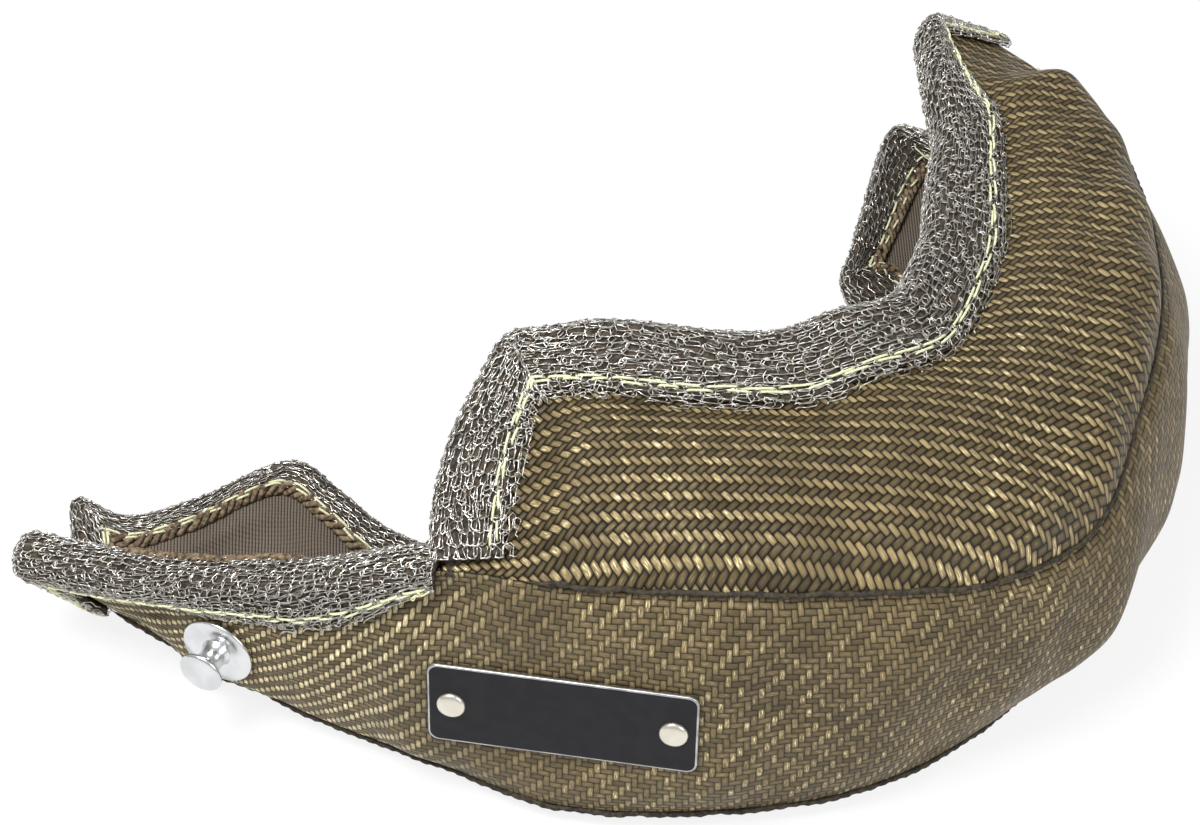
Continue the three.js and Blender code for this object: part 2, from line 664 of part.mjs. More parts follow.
const rivetX = [-RIVET_SPACING / 2, RIVET_SPACING / 2];
const plateFace = GAP + PLATE_THICKNESS;
const coverHoles = rivetX.map((x) => hole(padMatrix(platePad, x), RIVET_SHANK / 2 + 0.3, -COVER - 2, 3));
const corePockets = rivetX.map((x) => hole(padMatrix(platePad, x), 3.9, -COVER - GAP - 2.2, 2));
const studHoles = studPads.map((pad) => hole(padMatrix(pad), STUD_SHANK / 2 + 0.3, -30, 4));

const front = panelLayers('front', FRONT_STOPS, toBinding(5, 1));
const rim = panelLayers('rim', RIM_STOPS, evenly(6));
const back = panelLayers('back', BACK_STOPS, toBinding(4, 1));

add('front_panel_cover', front.cover, 'twill');
add('front_panel_core', front.core, 'fibre');
add('front_panel_lining', front.lining, 'ribbed');
add('rim_cover', bored(rim.cover, [...coverHoles, ...studHoles]), 'twill');
add('rim_core', bored(rim.core, [...corePockets, ...studHoles]), 'fibre');
add('rim_lining', bored(rim.lining, studHoles), 'ribbed');
add('back_panel_cover', back.cover, 'twill');
add('back_panel_core', back.core, 'fibre');
add('back_panel_lining', back.lining, 'ribbed');

add('tail_edge_binding', binding(tailRows), 'mesh');
add('back_edge_binding', binding(backRows), 'mesh');
add('mouth_edge_binding', binding(mouthRows), 'mesh');
add('front_edge_binding', binding(frontRows), 'mesh');

// Sewing thread on the outer leg of each strip
const onStitch = (rows) => rows.map(([row]) => row(STITCH_AT, above(LEG_GAP + 0.9 + GAP + 0.4)));
add('tail_edge_thread', cord(onStitch(tailRows), 0.4, 4), 'thread');
add('back_edge_thread', cord(onStitch(backRows), 0.4, 4), 'thread');
add('mouth_edge_thread', cord(onStitch(mouthRows), 0.4, 4), 'thread');
add('front_edge_thread', cord(onStitch(frontRows), 0.4, 4), 'thread');

// Name plate, two rivets through the cover and the burrs behind it
const plateShape = new THREE.Shape();
const hx = PLATE_LENGTH / 2;
const hy = PLATE_HEIGHT / 2;
const pc = PLATE_CORNER;
plateShape.moveTo(-hx + pc, -hy);
plateShape.lineTo(hx - pc, -hy);
plateShape.absarc(hx - pc, -hy + pc, pc, -Math.PI / 2, 0);
plateShape.lineTo(hx, hy - pc);
plateShape.absarc(hx - pc, hy - pc, pc, 0, Math.PI / 2);
plateShape.lineTo(-hx + pc, hy);
plateShape.absarc(-hx + pc, hy - pc, pc, Math.PI / 2, Math.PI);
plateShape.lineTo(-hx, -hy + pc);
plateShape.absarc(-hx + pc, -hy + pc, pc, Math.PI, Math.PI * 1.5);
for (const x of rivetX) {
  const bore = new THREE.Path();
  bore.absarc(x, 0, RIVET_SHANK / 2 + 0.3, 0, Math.PI * 2, true);
  plateShape.holes.push(bore);
}
const plateGeometry = new THREE.ExtrudeGeometry(plateShape, {
  depth: PLATE_THICKNESS, bevelEnabled: false, curveSegments: 5,
});
add('name_plate', plateGeometry, 'plate', padMatrix(platePad, 0, 0, GAP));
rivetX.forEach((x, i) => {
  const face = plateFace + GAP;
  const burrFace = COVER + GAP;
  const profile = rivetProfile(RIVET_HEAD, RIVET_SHANK / 2, face + burrFace + 0.6 + GAP, 1.7);
  add(`plate_rivet_${i + 1}`, turned(profile, 14), 'pale', padMatrix(platePad, x, 0, face));
  add(`plate_rivet_burr_${i + 1}`, turned(washerProfile(3.4, 1.5, 0.6), 14), 'pale',
    padMatrix(platePad, x, 0, -burrFace - 0.6));
});

// Lacing studs: turned stud, base disc on the cover and backing washer on the lining
studPads.forEach((pad, i) => {
  const thick = Math.max(...[-7, 0, 7].flatMap((ds) => [-0.14, 0, 0.14].map(
    (dv) => thicknessAt('rim', pad.s + ds, pad.v + dv),
  )));
  const shank = STUD_SHANK / 2;
  const post = STUD_POST / 2;
  const r = STUD_HEAD / 2;
  const base = GAP + 1.1 + GAP;
  const end = -thick - GAP - 1 - GAP;
  const profile = [
    [0, end - 1], [shank + 0.7, end - 0.9], [shank + 1.2, end - 0.4], [shank + 1.2, end],
    [shank, end], [shank, base], [post, base], [post, base + STUD_STANDOFF],
    [r - 0.3, base + STUD_STANDOFF], [r, base + STUD_STANDOFF + 0.3],
    [r, base + STUD_STANDOFF + 0.8], [r - 0.4, base + STUD_STANDOFF + 1.2], [0, base + STUD_STANDOFF + 1.3],
  ];
  add(`lacing_stud_${i + 1}`, turned(profile), 'steel', padMatrix(pad));
  add(`lacing_stud_${i + 1}_base`, turned(washerProfile(STUD_BASE / 2, shank + 0.3, 1.1), 24), 'steel',
    padMatrix(pad, 0, 0, GAP));
  add(`lacing_stud_${i + 1}_backing`, turned(washerProfile(STUD_BACKING / 2, shank + 0.3, 1), 18), 'steel',
    padMatrix(pad, 0, 0, -thick - GAP - 1));
});

// Origin to the bottom centre of the whole blanket
const box = new THREE.Box3().setFromObject(group);
const centre = box.getCenter(new THREE.Vector3());
for (const mesh of group.children) {
  mesh.geometry.translate(-centre.x, -centre.y, -box.min.z);
  mesh.geometry.computeVertexNormals();
}

export default group;
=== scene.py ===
"""Quilted heat blanket for a turbine housing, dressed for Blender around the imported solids.

Shapes are worked out in millimetres in the drawing's own frame, then moved to the part's.
"""

import math

import bpy
import numpy as np
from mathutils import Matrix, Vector


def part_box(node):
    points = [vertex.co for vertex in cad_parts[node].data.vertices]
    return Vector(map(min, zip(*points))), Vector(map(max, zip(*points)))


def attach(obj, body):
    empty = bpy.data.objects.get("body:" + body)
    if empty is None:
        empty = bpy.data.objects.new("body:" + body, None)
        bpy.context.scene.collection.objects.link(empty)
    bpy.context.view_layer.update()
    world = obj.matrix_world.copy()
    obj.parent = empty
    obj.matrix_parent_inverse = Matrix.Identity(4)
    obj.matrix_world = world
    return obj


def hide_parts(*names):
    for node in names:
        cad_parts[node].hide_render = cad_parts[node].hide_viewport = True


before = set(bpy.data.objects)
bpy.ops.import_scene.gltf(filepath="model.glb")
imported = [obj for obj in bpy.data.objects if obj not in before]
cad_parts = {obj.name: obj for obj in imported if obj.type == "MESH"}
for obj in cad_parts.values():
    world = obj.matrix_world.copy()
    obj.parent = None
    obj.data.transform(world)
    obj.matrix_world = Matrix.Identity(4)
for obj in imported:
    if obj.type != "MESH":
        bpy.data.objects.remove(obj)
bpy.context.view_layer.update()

# ---------------------------------------------------- dimensions, mm
COVER, LINING, GAP = 1.3, 0.9, 0.3
LEG_GAP = 0.85
EDGE_THICKNESS, SEAM_THICKNESS = 5.5, 5.0
SEAM_GAP = 0.12
LEG, STITCH_AT, NOSE = 13.0, 10.0, 3.0
CORNER_ROUND, FADE = 3.0, 30.0
FRONT_START, SWELL_FROM, FRONT_PUFF, BACK_PUFF = 88.0, 10.0, 7.0, 9.2
FLAT_END, TAIL_POINT, TAIL_FLAP = 14.0, 12.0, 8.0
MOUTH_LOBE, MOUTH_POINT, FRONT_BOW = 18.0, 6.0, 4.0
PLATE = (56.0, 20.0, 1.0)
PLATE_CORNER, RIVET_SPACING = 2.2, 46.0
STUD_BASE, STUD_HEAD, STUD_POST, STUD_STANDOFF = 16.5, 10.0, 5.8, 5.4
PLATE_AT, PLATE_PAD, PLATE_FALL, PLATE_SINK = (113.5, 0.54), (30, 11), 16, 2
TAIL_STUD_AT, MOUTH_STUD_AT = (37.5, 0.56), (42, 0.72)
STUD_PAD, STUD_FALL, STUD_SINK = (7.5, 7.5), 8, 0.2
PANEL_ACROSS = 57
# Pitch of the rim's yarns, and of the front panel's along and across its bias
YARN, YARN_ALONG, YARN_ACROSS = 1.25, 2.0, 1.72
RIB, RIB_STITCH = 0.7, 0.9
# How far the knitted wire reaches past the cloth of a strip
FRINGE = 3.0
# Parts of the full leg that a strip keeps where it ends
SHORT, TAIL_LEG, TAIL_END_LEG, MOUTH_LEG = 0.2, 0.3, 0.5, 0.65
# Where the back strip meets the tail's and the mouth's, measured from its corners
TAIL_JOINT, MOUTH_JOINT = 9.2, 8.8

# x, y, turn, top, foot, lean, puff, front in, front up, back in, back up
STATIONS = np.array([
    [-138, -60, 18, 26, 15, -5, 1, 30, 60, 23, 19],
    [-129, -64, 18, 28.5, 13.5, -4, 1.5, 34, 63, 23, 15],
    [-120, -68, 18, 31.5, 12, -3, 2, 38, 66, 33, 15],
    [-108, -73.2, 17.5, 37, 9.5, -2, 2.5, 43, 70.5, 51, 16],
    [-97, -77, 17, 42.5, 7.5, -1, 3, 45, 74, 48.5, 14],
    [-83, -82, 17, 48.5, 6, 1, 3.5, 46, 78, 44, 10],
    [-56, -88, 17, 61, 5, 6, 4, 46, 82, 41, 6],
    [-30, -93, 9, 62, 5, 12, 4, 49, 85, 46, 5],
    [0, -95, 0, 62, 5, 11, 4, 48, 84.2, 47, 5],
    [28, -93, -16, 60, 5, 8, 5, 49, 83.5, 48, 5],
    [55, -87, -32, 56, 5, 0, 4, 54, 85, 52, 5],
    [78, -70, -47, 53, 5, -4, 8, 53, 82.5, 52, 5],
    [90, -43, -64, 59, 5, 1, 7, 50, 80, 50, 5],
    [98, -14, -82, 62, 5, 2, 8, 49, 79, 50, 5],
    [99, 16, -99, 62, 5, 2, 8, 48, 78, 50, 6],
    [94, 43, -115, 62, 7, 0, 6, 44, 77, 50, 8],
    [84, 61, -126, 62, 13, 0, 4, 35, 77, 50, 10],
    [71, 76, -137, 62, 26, 0, 3, 19, 76, 50, 14],
], float)
X, Y, TURN, TOP, FOOT, LEAN, PUFF, FRONT_IN, FRONT_UP, BACK_IN, BACK_UP = range(11)


# ---------------------------------------------------- small helpers
def step(x, a, b):
    t = np.clip((np.asarray(x, float) - a) / (b - a), 0, 1)
    return t * t * (3 - 2 * t)


def unit(a):
    return a / np.maximum(np.linalg.norm(a, axis=-1, keepdims=True), 1e-9)


def dot(a, b):
    return (a * b).sum(-1)


def right(d):
    return np.stack([-d[..., 1], d[..., 0]], -1)


def mix(a, b, t):
    return a + (b - a) * t


def col(a):
    return np.asarray(a, float)[..., None]


def stops_of(line):
    """Distances along a line at each of its points."""
    return np.concatenate([[0], np.cumsum(np.linalg.norm(np.diff(line, axis=0), axis=1))])


def resampled(values, stops, places):
    """Points read at places along a line whose own points stand at stops."""
    return np.stack([np.interp(places, stops, values[:, n]) for n in range(3)], -1)


def noise(x, y, seed):
    """Smooth lumps, one to a unit, from about -1 to 1."""
    grid = np.random.default_rng(seed).uniform(-1, 1, (64, 64))
    i, j = np.floor(x).astype(int), np.floor(y).astype(int)
    u, v = x - i, y - j
    u, v = u * u * (3 - 2 * u), v * v * (3 - 2 * v)

    def at(a, b):
        return grid[a % 64, b % 64]

    low = mix(at(i, j), at(i + 1, j), u)
    high = mix(at(i, j + 1), at(i + 1, j + 1), u)
    return mix(low, high, v)


def through(k):
    """The station table, read smoothly at fractional station numbers."""
    last = len(STATIONS) - 1
    i = np.minimum(np.floor(k).astype(int), last - 1)
    t = col(k - i)

    def at(n):
        return STATIONS[np.clip(n, 0, last)]

    m0 = (at(i + 1) - at(i - 1)) / 2
    m1 = (at(i + 2) - at(i)) / 2
    return (
        (2 * t**3 - 3 * t**2 + 1) * at(i)
        + (t**3 - 2 * t**2 + t) * m0
        + (-2 * t**3 + 3 * t**2) * at(i + 1)
        + (t**3 - t**2) * m1
    )


STEPS = 600
_numbers = np.linspace(0, len(STATIONS) - 1, STEPS + 1)
_line = through(_numbers)[:, :2]
_lengths = stops_of(_line)
TOTAL = _lengths[-1]


# ---------------------------------------------------- the quilt
def section(s):
    row = through(np.interp(s, _lengths, _numbers))
    turn = np.radians(row[..., TURN])
    zero = np.zeros_like(turn)
    ends = step(s, FLAT_END, FLAT_END + 14) * (1 - step(s, TOTAL - FLAT_END - 14, TOTAL - FLAT_END))
    return {
        "s": s,
        "inward": np.stack([np.sin(turn), np.cos(turn), zero], -1),
        "along": np.stack([np.cos(turn), -np.sin(turn), zero], -1),
        "top": np.stack([zero, row[..., TOP]], -1),
        "foot": np.stack([-row[..., LEAN], row[..., FOOT]], -1),
        "front": row[..., [FRONT_IN, FRONT_UP]],
        "back": row[..., [BACK_IN, BACK_UP]],
        "puff": row[..., PUFF] * ends,
        "ends": ends,
        "origin": row[..., [X, Y]],
    }


def mitre(corner, a, b):
    half = np.arccos(np.clip(dot(a, b), -1, 1)) / 2
    inner = corner + unit(a + b) * col(SEAM_THICKNESS / np.sin(half))
    return inner, SEAM_GAP / 2 / np.sin(half)


def panel_lines(panel, sec):
    """Outer and inner skin of one panel: end points, way out, and where it swells."""
    rim = unit(sec["foot"] - sec["top"])
    front = unit(sec["front"] - sec["top"])
    back = unit(sec["back"] - sec["foot"])
    top_inner, top_shift = mitre(sec["top"], front, rim)
    foot_inner, foot_shift = mitre(sec["foot"], back, -rim)
    s = sec["s"]
    if panel == "rim":
        closed = step(s, FRONT_START - 4, FRONT_START - 0.5)
        square = sec["top"] + right(rim) * EDGE_THICKNESS
        shift = col(top_shift * closed)
        tall = np.linalg.norm(sec["top"] - sec["foot"], axis=-1)
        return (
            sec["top"] + rim * shift,
            mix(square, top_inner, col(closed)) + rim * shift,
            sec["foot"] - rim * col(foot_shift),
            foot_inner - rim * col(foot_shift),
            -right(rim),
            sec["puff"],
            (1 - step(s, FRONT_START, FRONT_START + 14)) * SWELL_FROM / tall,
            np.ones_like(s),
        )
    if panel == "front":
        width = np.linalg.norm(sec["front"] - sec["top"], axis=-1)
        grown = step(s, FRONT_START + FLAT_END, FRONT_START + FLAT_END + 14)
        return (
            sec["top"] + front * col(top_shift),
            top_inner + front * col(top_shift),
            sec["front"],
            sec["front"] - right(front) * EDGE_THICKNESS,
            right(front),
            FRONT_PUFF * sec["ends"] * grown * step(width, 20, 40),
            np.zeros_like(s),
            1 - (LEG + 1) / width,
        )
    return (
        sec["foot"] + back * col(foot_shift),
        foot_inner + back * col(foot_shift),
        sec["back"],
        sec["back"] + right(back) * EDGE_THICKNESS,
        -right(back),
        BACK_PUFF * sec["ends"],
        np.zeros_like(s),
        1 - (LEG + 1) / np.linalg.norm(sec["back"] - sec["foot"], axis=-1),
    )


def panel_width(panel, s):
    o0, _, o1, *_ = panel_lines(panel, section(np.asarray(s, float)))
    return np.linalg.norm(o1 - o0, axis=-1)


def bump(t):
    inside = np.clip(t, 0, 1)
    return np.where((t <= 0) | (t >= 1), 0, 1 - np.abs(2 * inside - 1) ** 2.6)


def end_reach(panel, s, v):
    tail = 1 - step(s, 0, 44)
    mouth = step(s, TOTAL - 40, TOTAL)
    w = np.clip(v, 0, 1)
    if panel == "rim":
        return -TAIL_POINT * tail * (1 - v)
    if panel == "back":
        return -TAIL_FLAP * tail * v + MOUTH_LOBE * mouth * np.sin(np.pi * w**0.33)
    left = 1 - step(s, FRONT_START, FRONT_START + 36)
    return MOUTH_POINT * mouth * v - FRONT_BOW * left * np.sin(np.pi * w**0.9)


pads = []


def skin(panel, s, v, depth):
    sec = section(s)
    o0, i0, o1, i1, out, puff, start, stop = panel_lines(panel, sec)
    swell = col(puff * bump((v - start) / (stop - start)))
    outer = mix(o0, o1, col(v)) + out * swell
    inner = mix(i0, i1, col(v)) + out * swell * 0.35
    across = outer - inner
    thick = dot(across, out)
    p = outer - across * col(depth / thick)
    if panel == "back":
        p[..., 1] += np.maximum(0, -outer[..., 1])
    return p, outer, thick, sec


def in_space(sec, p, reach):
    flat = np.concatenate([sec["origin"], p[..., 1:2]], -1)
    return flat + sec["inward"] * p[..., 0:1] + sec["along"] * col(reach)


def pad_weights(surface, pad):
    off = surface - pad["centre"]
    x = np.maximum(0, np.abs(dot(off, pad["along"])) - pad["half"][0])
    y = np.maximum(0, np.abs(dot(off, pad["up"])) - pad["half"][1])
    return 1 - step(np.hypot(x, y), 0, pad["fall"])


def quilt(panel, s, v, depth=0.0):
    """Points of the quilt: distance along, fraction across, depth below the outer skin."""
    s, v, depth = (np.array(a, float) for a in np.broadcast_arrays(s, v, depth))
    p, outer, _, sec = skin(panel, s, v, depth)
    reach = end_reach(panel, s, v)
    point = in_space(sec, p, reach)
    if panel != "rim":
        return point
    surface = in_space(sec, outer, reach)
    for pad in pads:
        near = np.abs(s - pad["s"]) <= 2 * (pad["half"][0] + pad["fall"])
        weight = pad_weights(surface, pad) * near
        flat = surface - pad["out"] * col(dot(surface - pad["centre"], pad["out"]) + depth)
        point = mix(point, flat, col(weight))
    return point


def thickness(panel, s, v):
    s, v = (np.array(a, float) for a in np.broadcast_arrays(s, v))
    return skin(panel, s, v, 0.0)[2]


def make_pad(s, v, half, fall, sink):
    def at(ds, dv):
        return quilt("rim", s + ds, v + dv)

    along = unit(at(half[0], 0) - at(-half[0], 0))
    up = unit(at(0, -0.12) - at(0, 0.12))
    out = unit(np.cross(along, up))
    return {
        "s": s, "v": v, "along": along, "up": np.cross(out, along), "out": out,
        "centre": at(0, 0) - out * sink, "half": half, "fall": fall,
    }


_plate_pad = make_pad(*PLATE_AT, PLATE_PAD, PLATE_FALL, PLATE_SINK)
_stud_pads = [
    make_pad(s, v, STUD_PAD, STUD_FALL, STUD_SINK)
    for s, v in (TAIL_STUD_AT, (TOTAL - MOUTH_STUD_AT[0], MOUTH_STUD_AT[1]))
]
pads += [_plate_pad, *_stud_pads]

# The name plate is symmetric, so the middle of its box ties the drawing to the part
_low, _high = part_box("name_plate")
_plate_middle = np.array(_low + _high) * 500
SHIFT = _plate_middle - (_plate_pad["centre"] + _plate_pad["out"] * (GAP + PLATE[2] / 2))


def to_part(points):
    """Millimetres in the drawing to metres in the part, never below the floor."""
    moved = (np.asarray(points, float) + SHIFT) / 1000
    moved[..., 2] = np.maximum(moved[..., 2], 0.00005)
    return moved


# ---------------------------------------------------- mesh making
def placed(name, data):
    """A new object in the scene."""
    obj = bpy.data.objects.new(name, data)
    bpy.context.scene.collection.objects.link(obj)
    return obj


def new_piece(name, points, faces, material, uv=None, flat=False):
    mesh = bpy.data.meshes.new(name)
    mesh.from_pydata(points.tolist(), [], faces, shade_flat=flat)
    if uv is not None:
        layer = mesh.uv_layers.new(name="yarns")
        index = np.zeros(len(mesh.loops), np.int32)
        mesh.loops.foreach_get("vertex_index", index)
        layer.data.foreach_set("uv", uv[index].astype(np.float32).ravel())
    mesh.materials.append(material)
    obj = placed(name, mesh)
    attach(obj, "root")
    return obj


def facing_out(points, quads):
    a, b, c, d = (points[quads[:, n]] for n in range(4))
    volume = (a * np.cross(b, c)).sum() + (a * np.cross(c, d)).sum()
    return quads if volume > 0 else quads[:, ::-1]


def ring_quads(rows, count, start=0):
    r, c = np.meshgrid(np.arange(rows - 1), np.arange(count), indexing="ij")
    d = (c + 1) % count
    quads = np.stack([r * count + c, (r + 1) * count + c, (r + 1) * count + d, r * count + d], -1)
    return quads.reshape(-1, 4) + start


def shell(name, rings, material, uv=None):
    """A closed body from rings of points, capped at both ends."""
    rows, count, _ = rings.shape
    points = to_part(rings.reshape(-1, 3))
    quads = ring_quads(rows, count)
    turned = facing_out(points, quads)
    caps = [list(range(count)), list(range((rows - 1) * count, rows * count))]
    forward = turned is quads
    caps = [caps[0] if forward else caps[0][::-1], caps[1][::-1] if forward else caps[1]]
    flat_uv = None if uv is None else uv.reshape(-1, 2)
    return new_piece(name, points, turned.tolist() + caps, material, flat_uv)


def tubes(name, paths, radii, sides, material, ups=None):
    """Many round cords in one mesh, each along a path of points. A radius is one number or one a point."""
    all_points, all_faces, start = [], [], 0
    for n, path in enumerate(paths):
        tangent = unit(np.gradient(path, axis=0))
        up = np.array([0.0, 0.0, 1.0]) if ups is None else ups[n]
        side = np.cross(tangent, up)
        short = np.linalg.norm(side, axis=-1) < 0.2
        side[short] = np.cross(tangent[short], [1.0, 0.2, 0.0])
        side = unit(side)
        lift = np.cross(side, tangent)
        angle = 2 * np.pi * (np.arange(sides) + 0.5) / sides
        radius = np.broadcast_to(radii[n] if isinstance(radii, list) else radii, len(path))
        ring = side[:, None] * np.cos(angle)[None, :, None] + lift[:, None] * np.sin(angle)[None, :, None]
        points = path[:, None] + ring * radius[:, None, None]
        rows = len(path)
        all_points.append(points.reshape(-1, 3))
        all_faces += ring_quads(rows, sides, start)[:, ::-1].tolist()
        all_faces.append(list(range(start, start + sides))[::-1])
        all_faces.append(list(range(start + (rows - 1) * sides, start + rows * sides)))
        start += rows * sides
    return new_piece(name, to_part(np.concatenate(all_points)), all_faces, material)


def on_pad(pad, base, flat):
    """Points given along, up and out of a pad, from a base point."""
    across = flat[..., 0:1] * pad["along"] + flat[..., 1:2] * pad["up"]
    return base + across + flat[..., 2:3] * pad["out"]


def lathe(name, profile, pad, x, height, material, segments=64):
    """A turned piece standing on a pad of the rim."""
    angle = 2 * np.pi * np.arange(segments) / segments
    r, z = np.array(profile).T
    level = np.broadcast_to(z[:, None], (len(r), segments))
    flat = np.stack([r[:, None] * np.cos(angle), r[:, None] * np.sin(angle), level], -1)
    base = pad["centre"] + pad["along"] * x + pad["out"] * height
    return shell(name, on_pad(pad, base, flat), material)


# ---------------------------------------------------- material making
class Value:
    """A number in a node tree that ordinary arithmetic builds on."""

    def __init__(self, tree, socket):
        self.tree, self.socket = tree, socket

    def op(self, kind, *others, clamp=False):
        node = self.tree.nodes.new("ShaderNodeMath")
        node.operation, node.use_clamp = kind, clamp
        for socket, item in zip(node.inputs, (self, *others)):
            plug(self.tree, item, socket)
        return Value(self.tree, node.outputs[0])

    def __add__(self, other):
        return self.op("ADD", other)

    def __sub__(self, other):
        return self.op("SUBTRACT", other)

    def __mul__(self, other):
        return self.op("MULTIPLY", other)

    def __truediv__(self, other):
        return self.op("DIVIDE", other)

    def floor(self):
        return self.op("FLOOR")

    def mod(self, other):
        return self.op("FLOORED_MODULO", other)

    def below(self, other):
        return self.op("LESS_THAN", other)

    def power(self, other):
        return self.op("POWER", other)

    def sine(self):
        return self.op("SINE")

    def ramp(self, low, high):
        node = self.tree.nodes.new("ShaderNodeMapRange")
        node.interpolation_type = "SMOOTHSTEP"
        plug(self.tree, self, node.inputs["Value"])
        node.inputs["From Min"].default_value = low
        node.inputs["From Max"].default_value = high
        return Value(self.tree, node.outputs["Result"])


def plug(tree, item, socket):
    if isinstance(item, Value):
        tree.links.new(item.socket, socket)
    else:
        socket.default_value = item


def blend_value(low, high, share):
    return low + (high - low) * share


def blend_colour(tree, low, high, share):
    node = tree.nodes.new("ShaderNodeMix")
    node.data_type = "RGBA"
    plug(tree, share, node.inputs[0])
    plug(tree, low, node.inputs[6])
    plug(tree, high, node.inputs[7])
    return Value(tree, node.outputs[2])


def shaded(tree, colour, amount):
    """A colour made lighter or darker by a number."""
    node = tree.nodes.new("ShaderNodeVectorMath")
    node.operation = "SCALE"
    plug(tree, colour, node.inputs[0])
    plug(tree, amount, node.inputs["Scale"])
    return Value(tree, node.outputs[0])


def joined(tree, x, y, z=0.0):
    node = tree.nodes.new("ShaderNodeCombineXYZ")
    for item, socket in zip((x, y, z), node.inputs):
        plug(tree, item, socket)
    return Value(tree, node.outputs[0])


def rough_noise(tree, vector, scale, detail=2.0):
    node = tree.nodes.new("ShaderNodeTexNoise")
    plug(tree, vector, node.inputs["Vector"])
    node.inputs["Scale"].default_value = scale
    node.inputs["Detail"].default_value = detail
    return Value(tree, node.outputs["Fac"])


def random_of(tree, number):
    node = tree.nodes.new("ShaderNodeTexWhiteNoise")
    node.noise_dimensions = "1D"
    plug(tree, number, node.inputs["W"])
    return Value(tree, node.outputs["Value"])


def object_place(tree):
    node = tree.nodes.new("ShaderNodeTexCoord")
    return Value(tree, node.outputs["Object"])


def yarn_place(tree):
    """The two yarn numbers held as the mesh's UV."""
    uv = tree.nodes.new("ShaderNodeUVMap")
    uv.uv_map = "yarns"
    split = tree.nodes.new("ShaderNodeSeparateXYZ")
    tree.links.new(uv.outputs[0], split.inputs[0])
    return Value(tree, split.outputs[0]), Value(tree, split.outputs[1])


def new_material(name, roughness, metallic=0.0, sheen=0.0, specular=0.5):
    material = bpy.data.materials.new(name)
    material.use_nodes = True
    shader = material.node_tree.nodes["Principled BSDF"]
    shader.inputs["Roughness"].default_value = roughness
    shader.inputs["Metallic"].default_value = metallic
    shader.inputs["Sheen Weight"].default_value = sheen
    shader.inputs["Sheen Roughness"].default_value = 0.4
    shader.inputs["Specular IOR Level"].default_value = specular
    return material, material.node_tree, shader


def raise_by(tree, shader, height, distance_mm, strength=1.0):
    node = tree.nodes.new("ShaderNodeBump")
    node.inputs["Distance"].default_value = distance_mm / 1000
    node.inputs["Strength"].default_value = strength
    plug(tree, height, node.inputs["Height"])
    tree.links.new(node.outputs["Normal"], shader.inputs["Normal"])


def rounded(across):
    """Height of a yarn over its width, 0 to 1 across."""
    centred = across * 2 - 1
    return centred * centred * -1 + 1


def woven(name, warp_lit_colour, weft_shaded_colour, glint, dark, bump_mm, fullness, straight):
    """Twill, two over and two under, worked out from the yarn numbers, with painted glints, painted shade
    in the gaps and the warp painted lighter than the weft.
    """
    material, tree, shader = new_material(name, 0.48, specular=0.28)
    a, b = yarn_place(tree)
    place = object_place(tree)
    wander = rough_noise(tree, place, 170, 1) * 0.4 - 0.2
    a, b = a + wander, b - wander
    i, j = a.floor(), b.floor()
    x, y = a - i, b - j
    warp_up = (i + j).mod(4).below(1.5)
    along_warp = (b + i).mod(4) / 2
    along_weft = ((a + j).mod(4) - 2) / 2
    warp_side = rounded(x).power(0.5)
    warp_long = (along_warp * math.pi).sine().op("MAXIMUM", 0.0).power(0.35)
    weft_side = rounded(y).power(0.5)
    weft_long = (along_weft * math.pi).sine().op("MAXIMUM", 0.0).power(0.3)
    strands_warp = rough_noise(tree, joined(tree, a * 11, b * 0.9), 1.0, 2)
    strands_weft = rough_noise(tree, joined(tree, a * 0.9, b * 11), 1.0, 2)
    strands = blend_value(strands_weft, strands_warp, warp_up)
    warp = warp_side * warp_long
    weft = weft_side * weft_long * fullness
    body = blend_value(weft, warp, warp_up)
    height = body + strands * 0.16
    tint_warp = random_of(tree, i + ((b + i) / 4).floor() * 7.31)
    tint_weft = random_of(tree, j + ((a + j) / 4).floor() * 5.17)
    tint = blend_value(tint_weft, tint_warp, warp_up)
    # Painted light: warp and weft are one cloth, the warp in a lighter copy of its colour and the weft in
    # a darker one, for how light falls along their fibres
    base = blend_colour(tree, weft_shaded_colour, warp_lit_colour, warp_up)
    # Painted highlight: pale glints on the crowns of the floats, patchy, and stronger on some yarns than
    # others
    painted_glint = strands.ramp(0.5, 0.66) * body.ramp(0.5, 0.95) * blend_value(tint * 0.3, tint * 0.9, warp_up)
    painted_glint = painted_glint * rough_noise(tree, place, 22, 1).ramp(0.3, 0.66)
    # Painted highlight: on the rim, more glint on the warp floats towards the tail; on the front panel the
    # glints are made stronger
    if straight:
        painted_glint = painted_glint + warp_up * body.ramp(0.3, 0.9) * a.ramp(85, 50) * (strands * 0.9)
    else:
        painted_glint = painted_glint * 1.25
    base = blend_colour(tree, base, glint, painted_glint)
    # Painted shade: towards the gaps between the yarns the colour falls to the near-black gap colour
    gap_shaded = blend_colour(tree, dark, base, body.ramp(0.0, 0.6) if straight else body.ramp(0.15, 0.78))
    patches = rough_noise(tree, place, 38, 2)
    # Brightness from random yarn tone, patches and strand streaks, the streaks partly painted glint, with
    # painted shade: each yarn lighter on its crown than at its sides
    amount = (strands * 1.5 + 0.25) * (tint * 0.6 + 0.7) * (patches * 0.8 + 0.6) * (body * 0.4 + 0.72)
    tree.links.new(shaded(tree, gap_shaded, amount).socket, shader.inputs["Base Color"])
    raise_by(tree, shader, height, bump_mm)
    return material


def plain_material(name, colour, dark, scale, roughness, bump_mm=0.1, metallic=0.0):
    """One colour, mottled with another at a given scale, with a fine bump."""
    material, tree, shader = new_material(name, roughness, metallic)
    place = object_place(tree)
    lumps = rough_noise(tree, place, scale, 3)
    colour = blend_colour(tree, dark, colour, lumps.ramp(0.35, 0.65))
    tree.links.new(colour.socket, shader.inputs["Base Color"])
    fine = rough_noise(tree, place, scale * 1.7, 2)
    raise_by(tree, shader, fine, bump_mm)
    return material


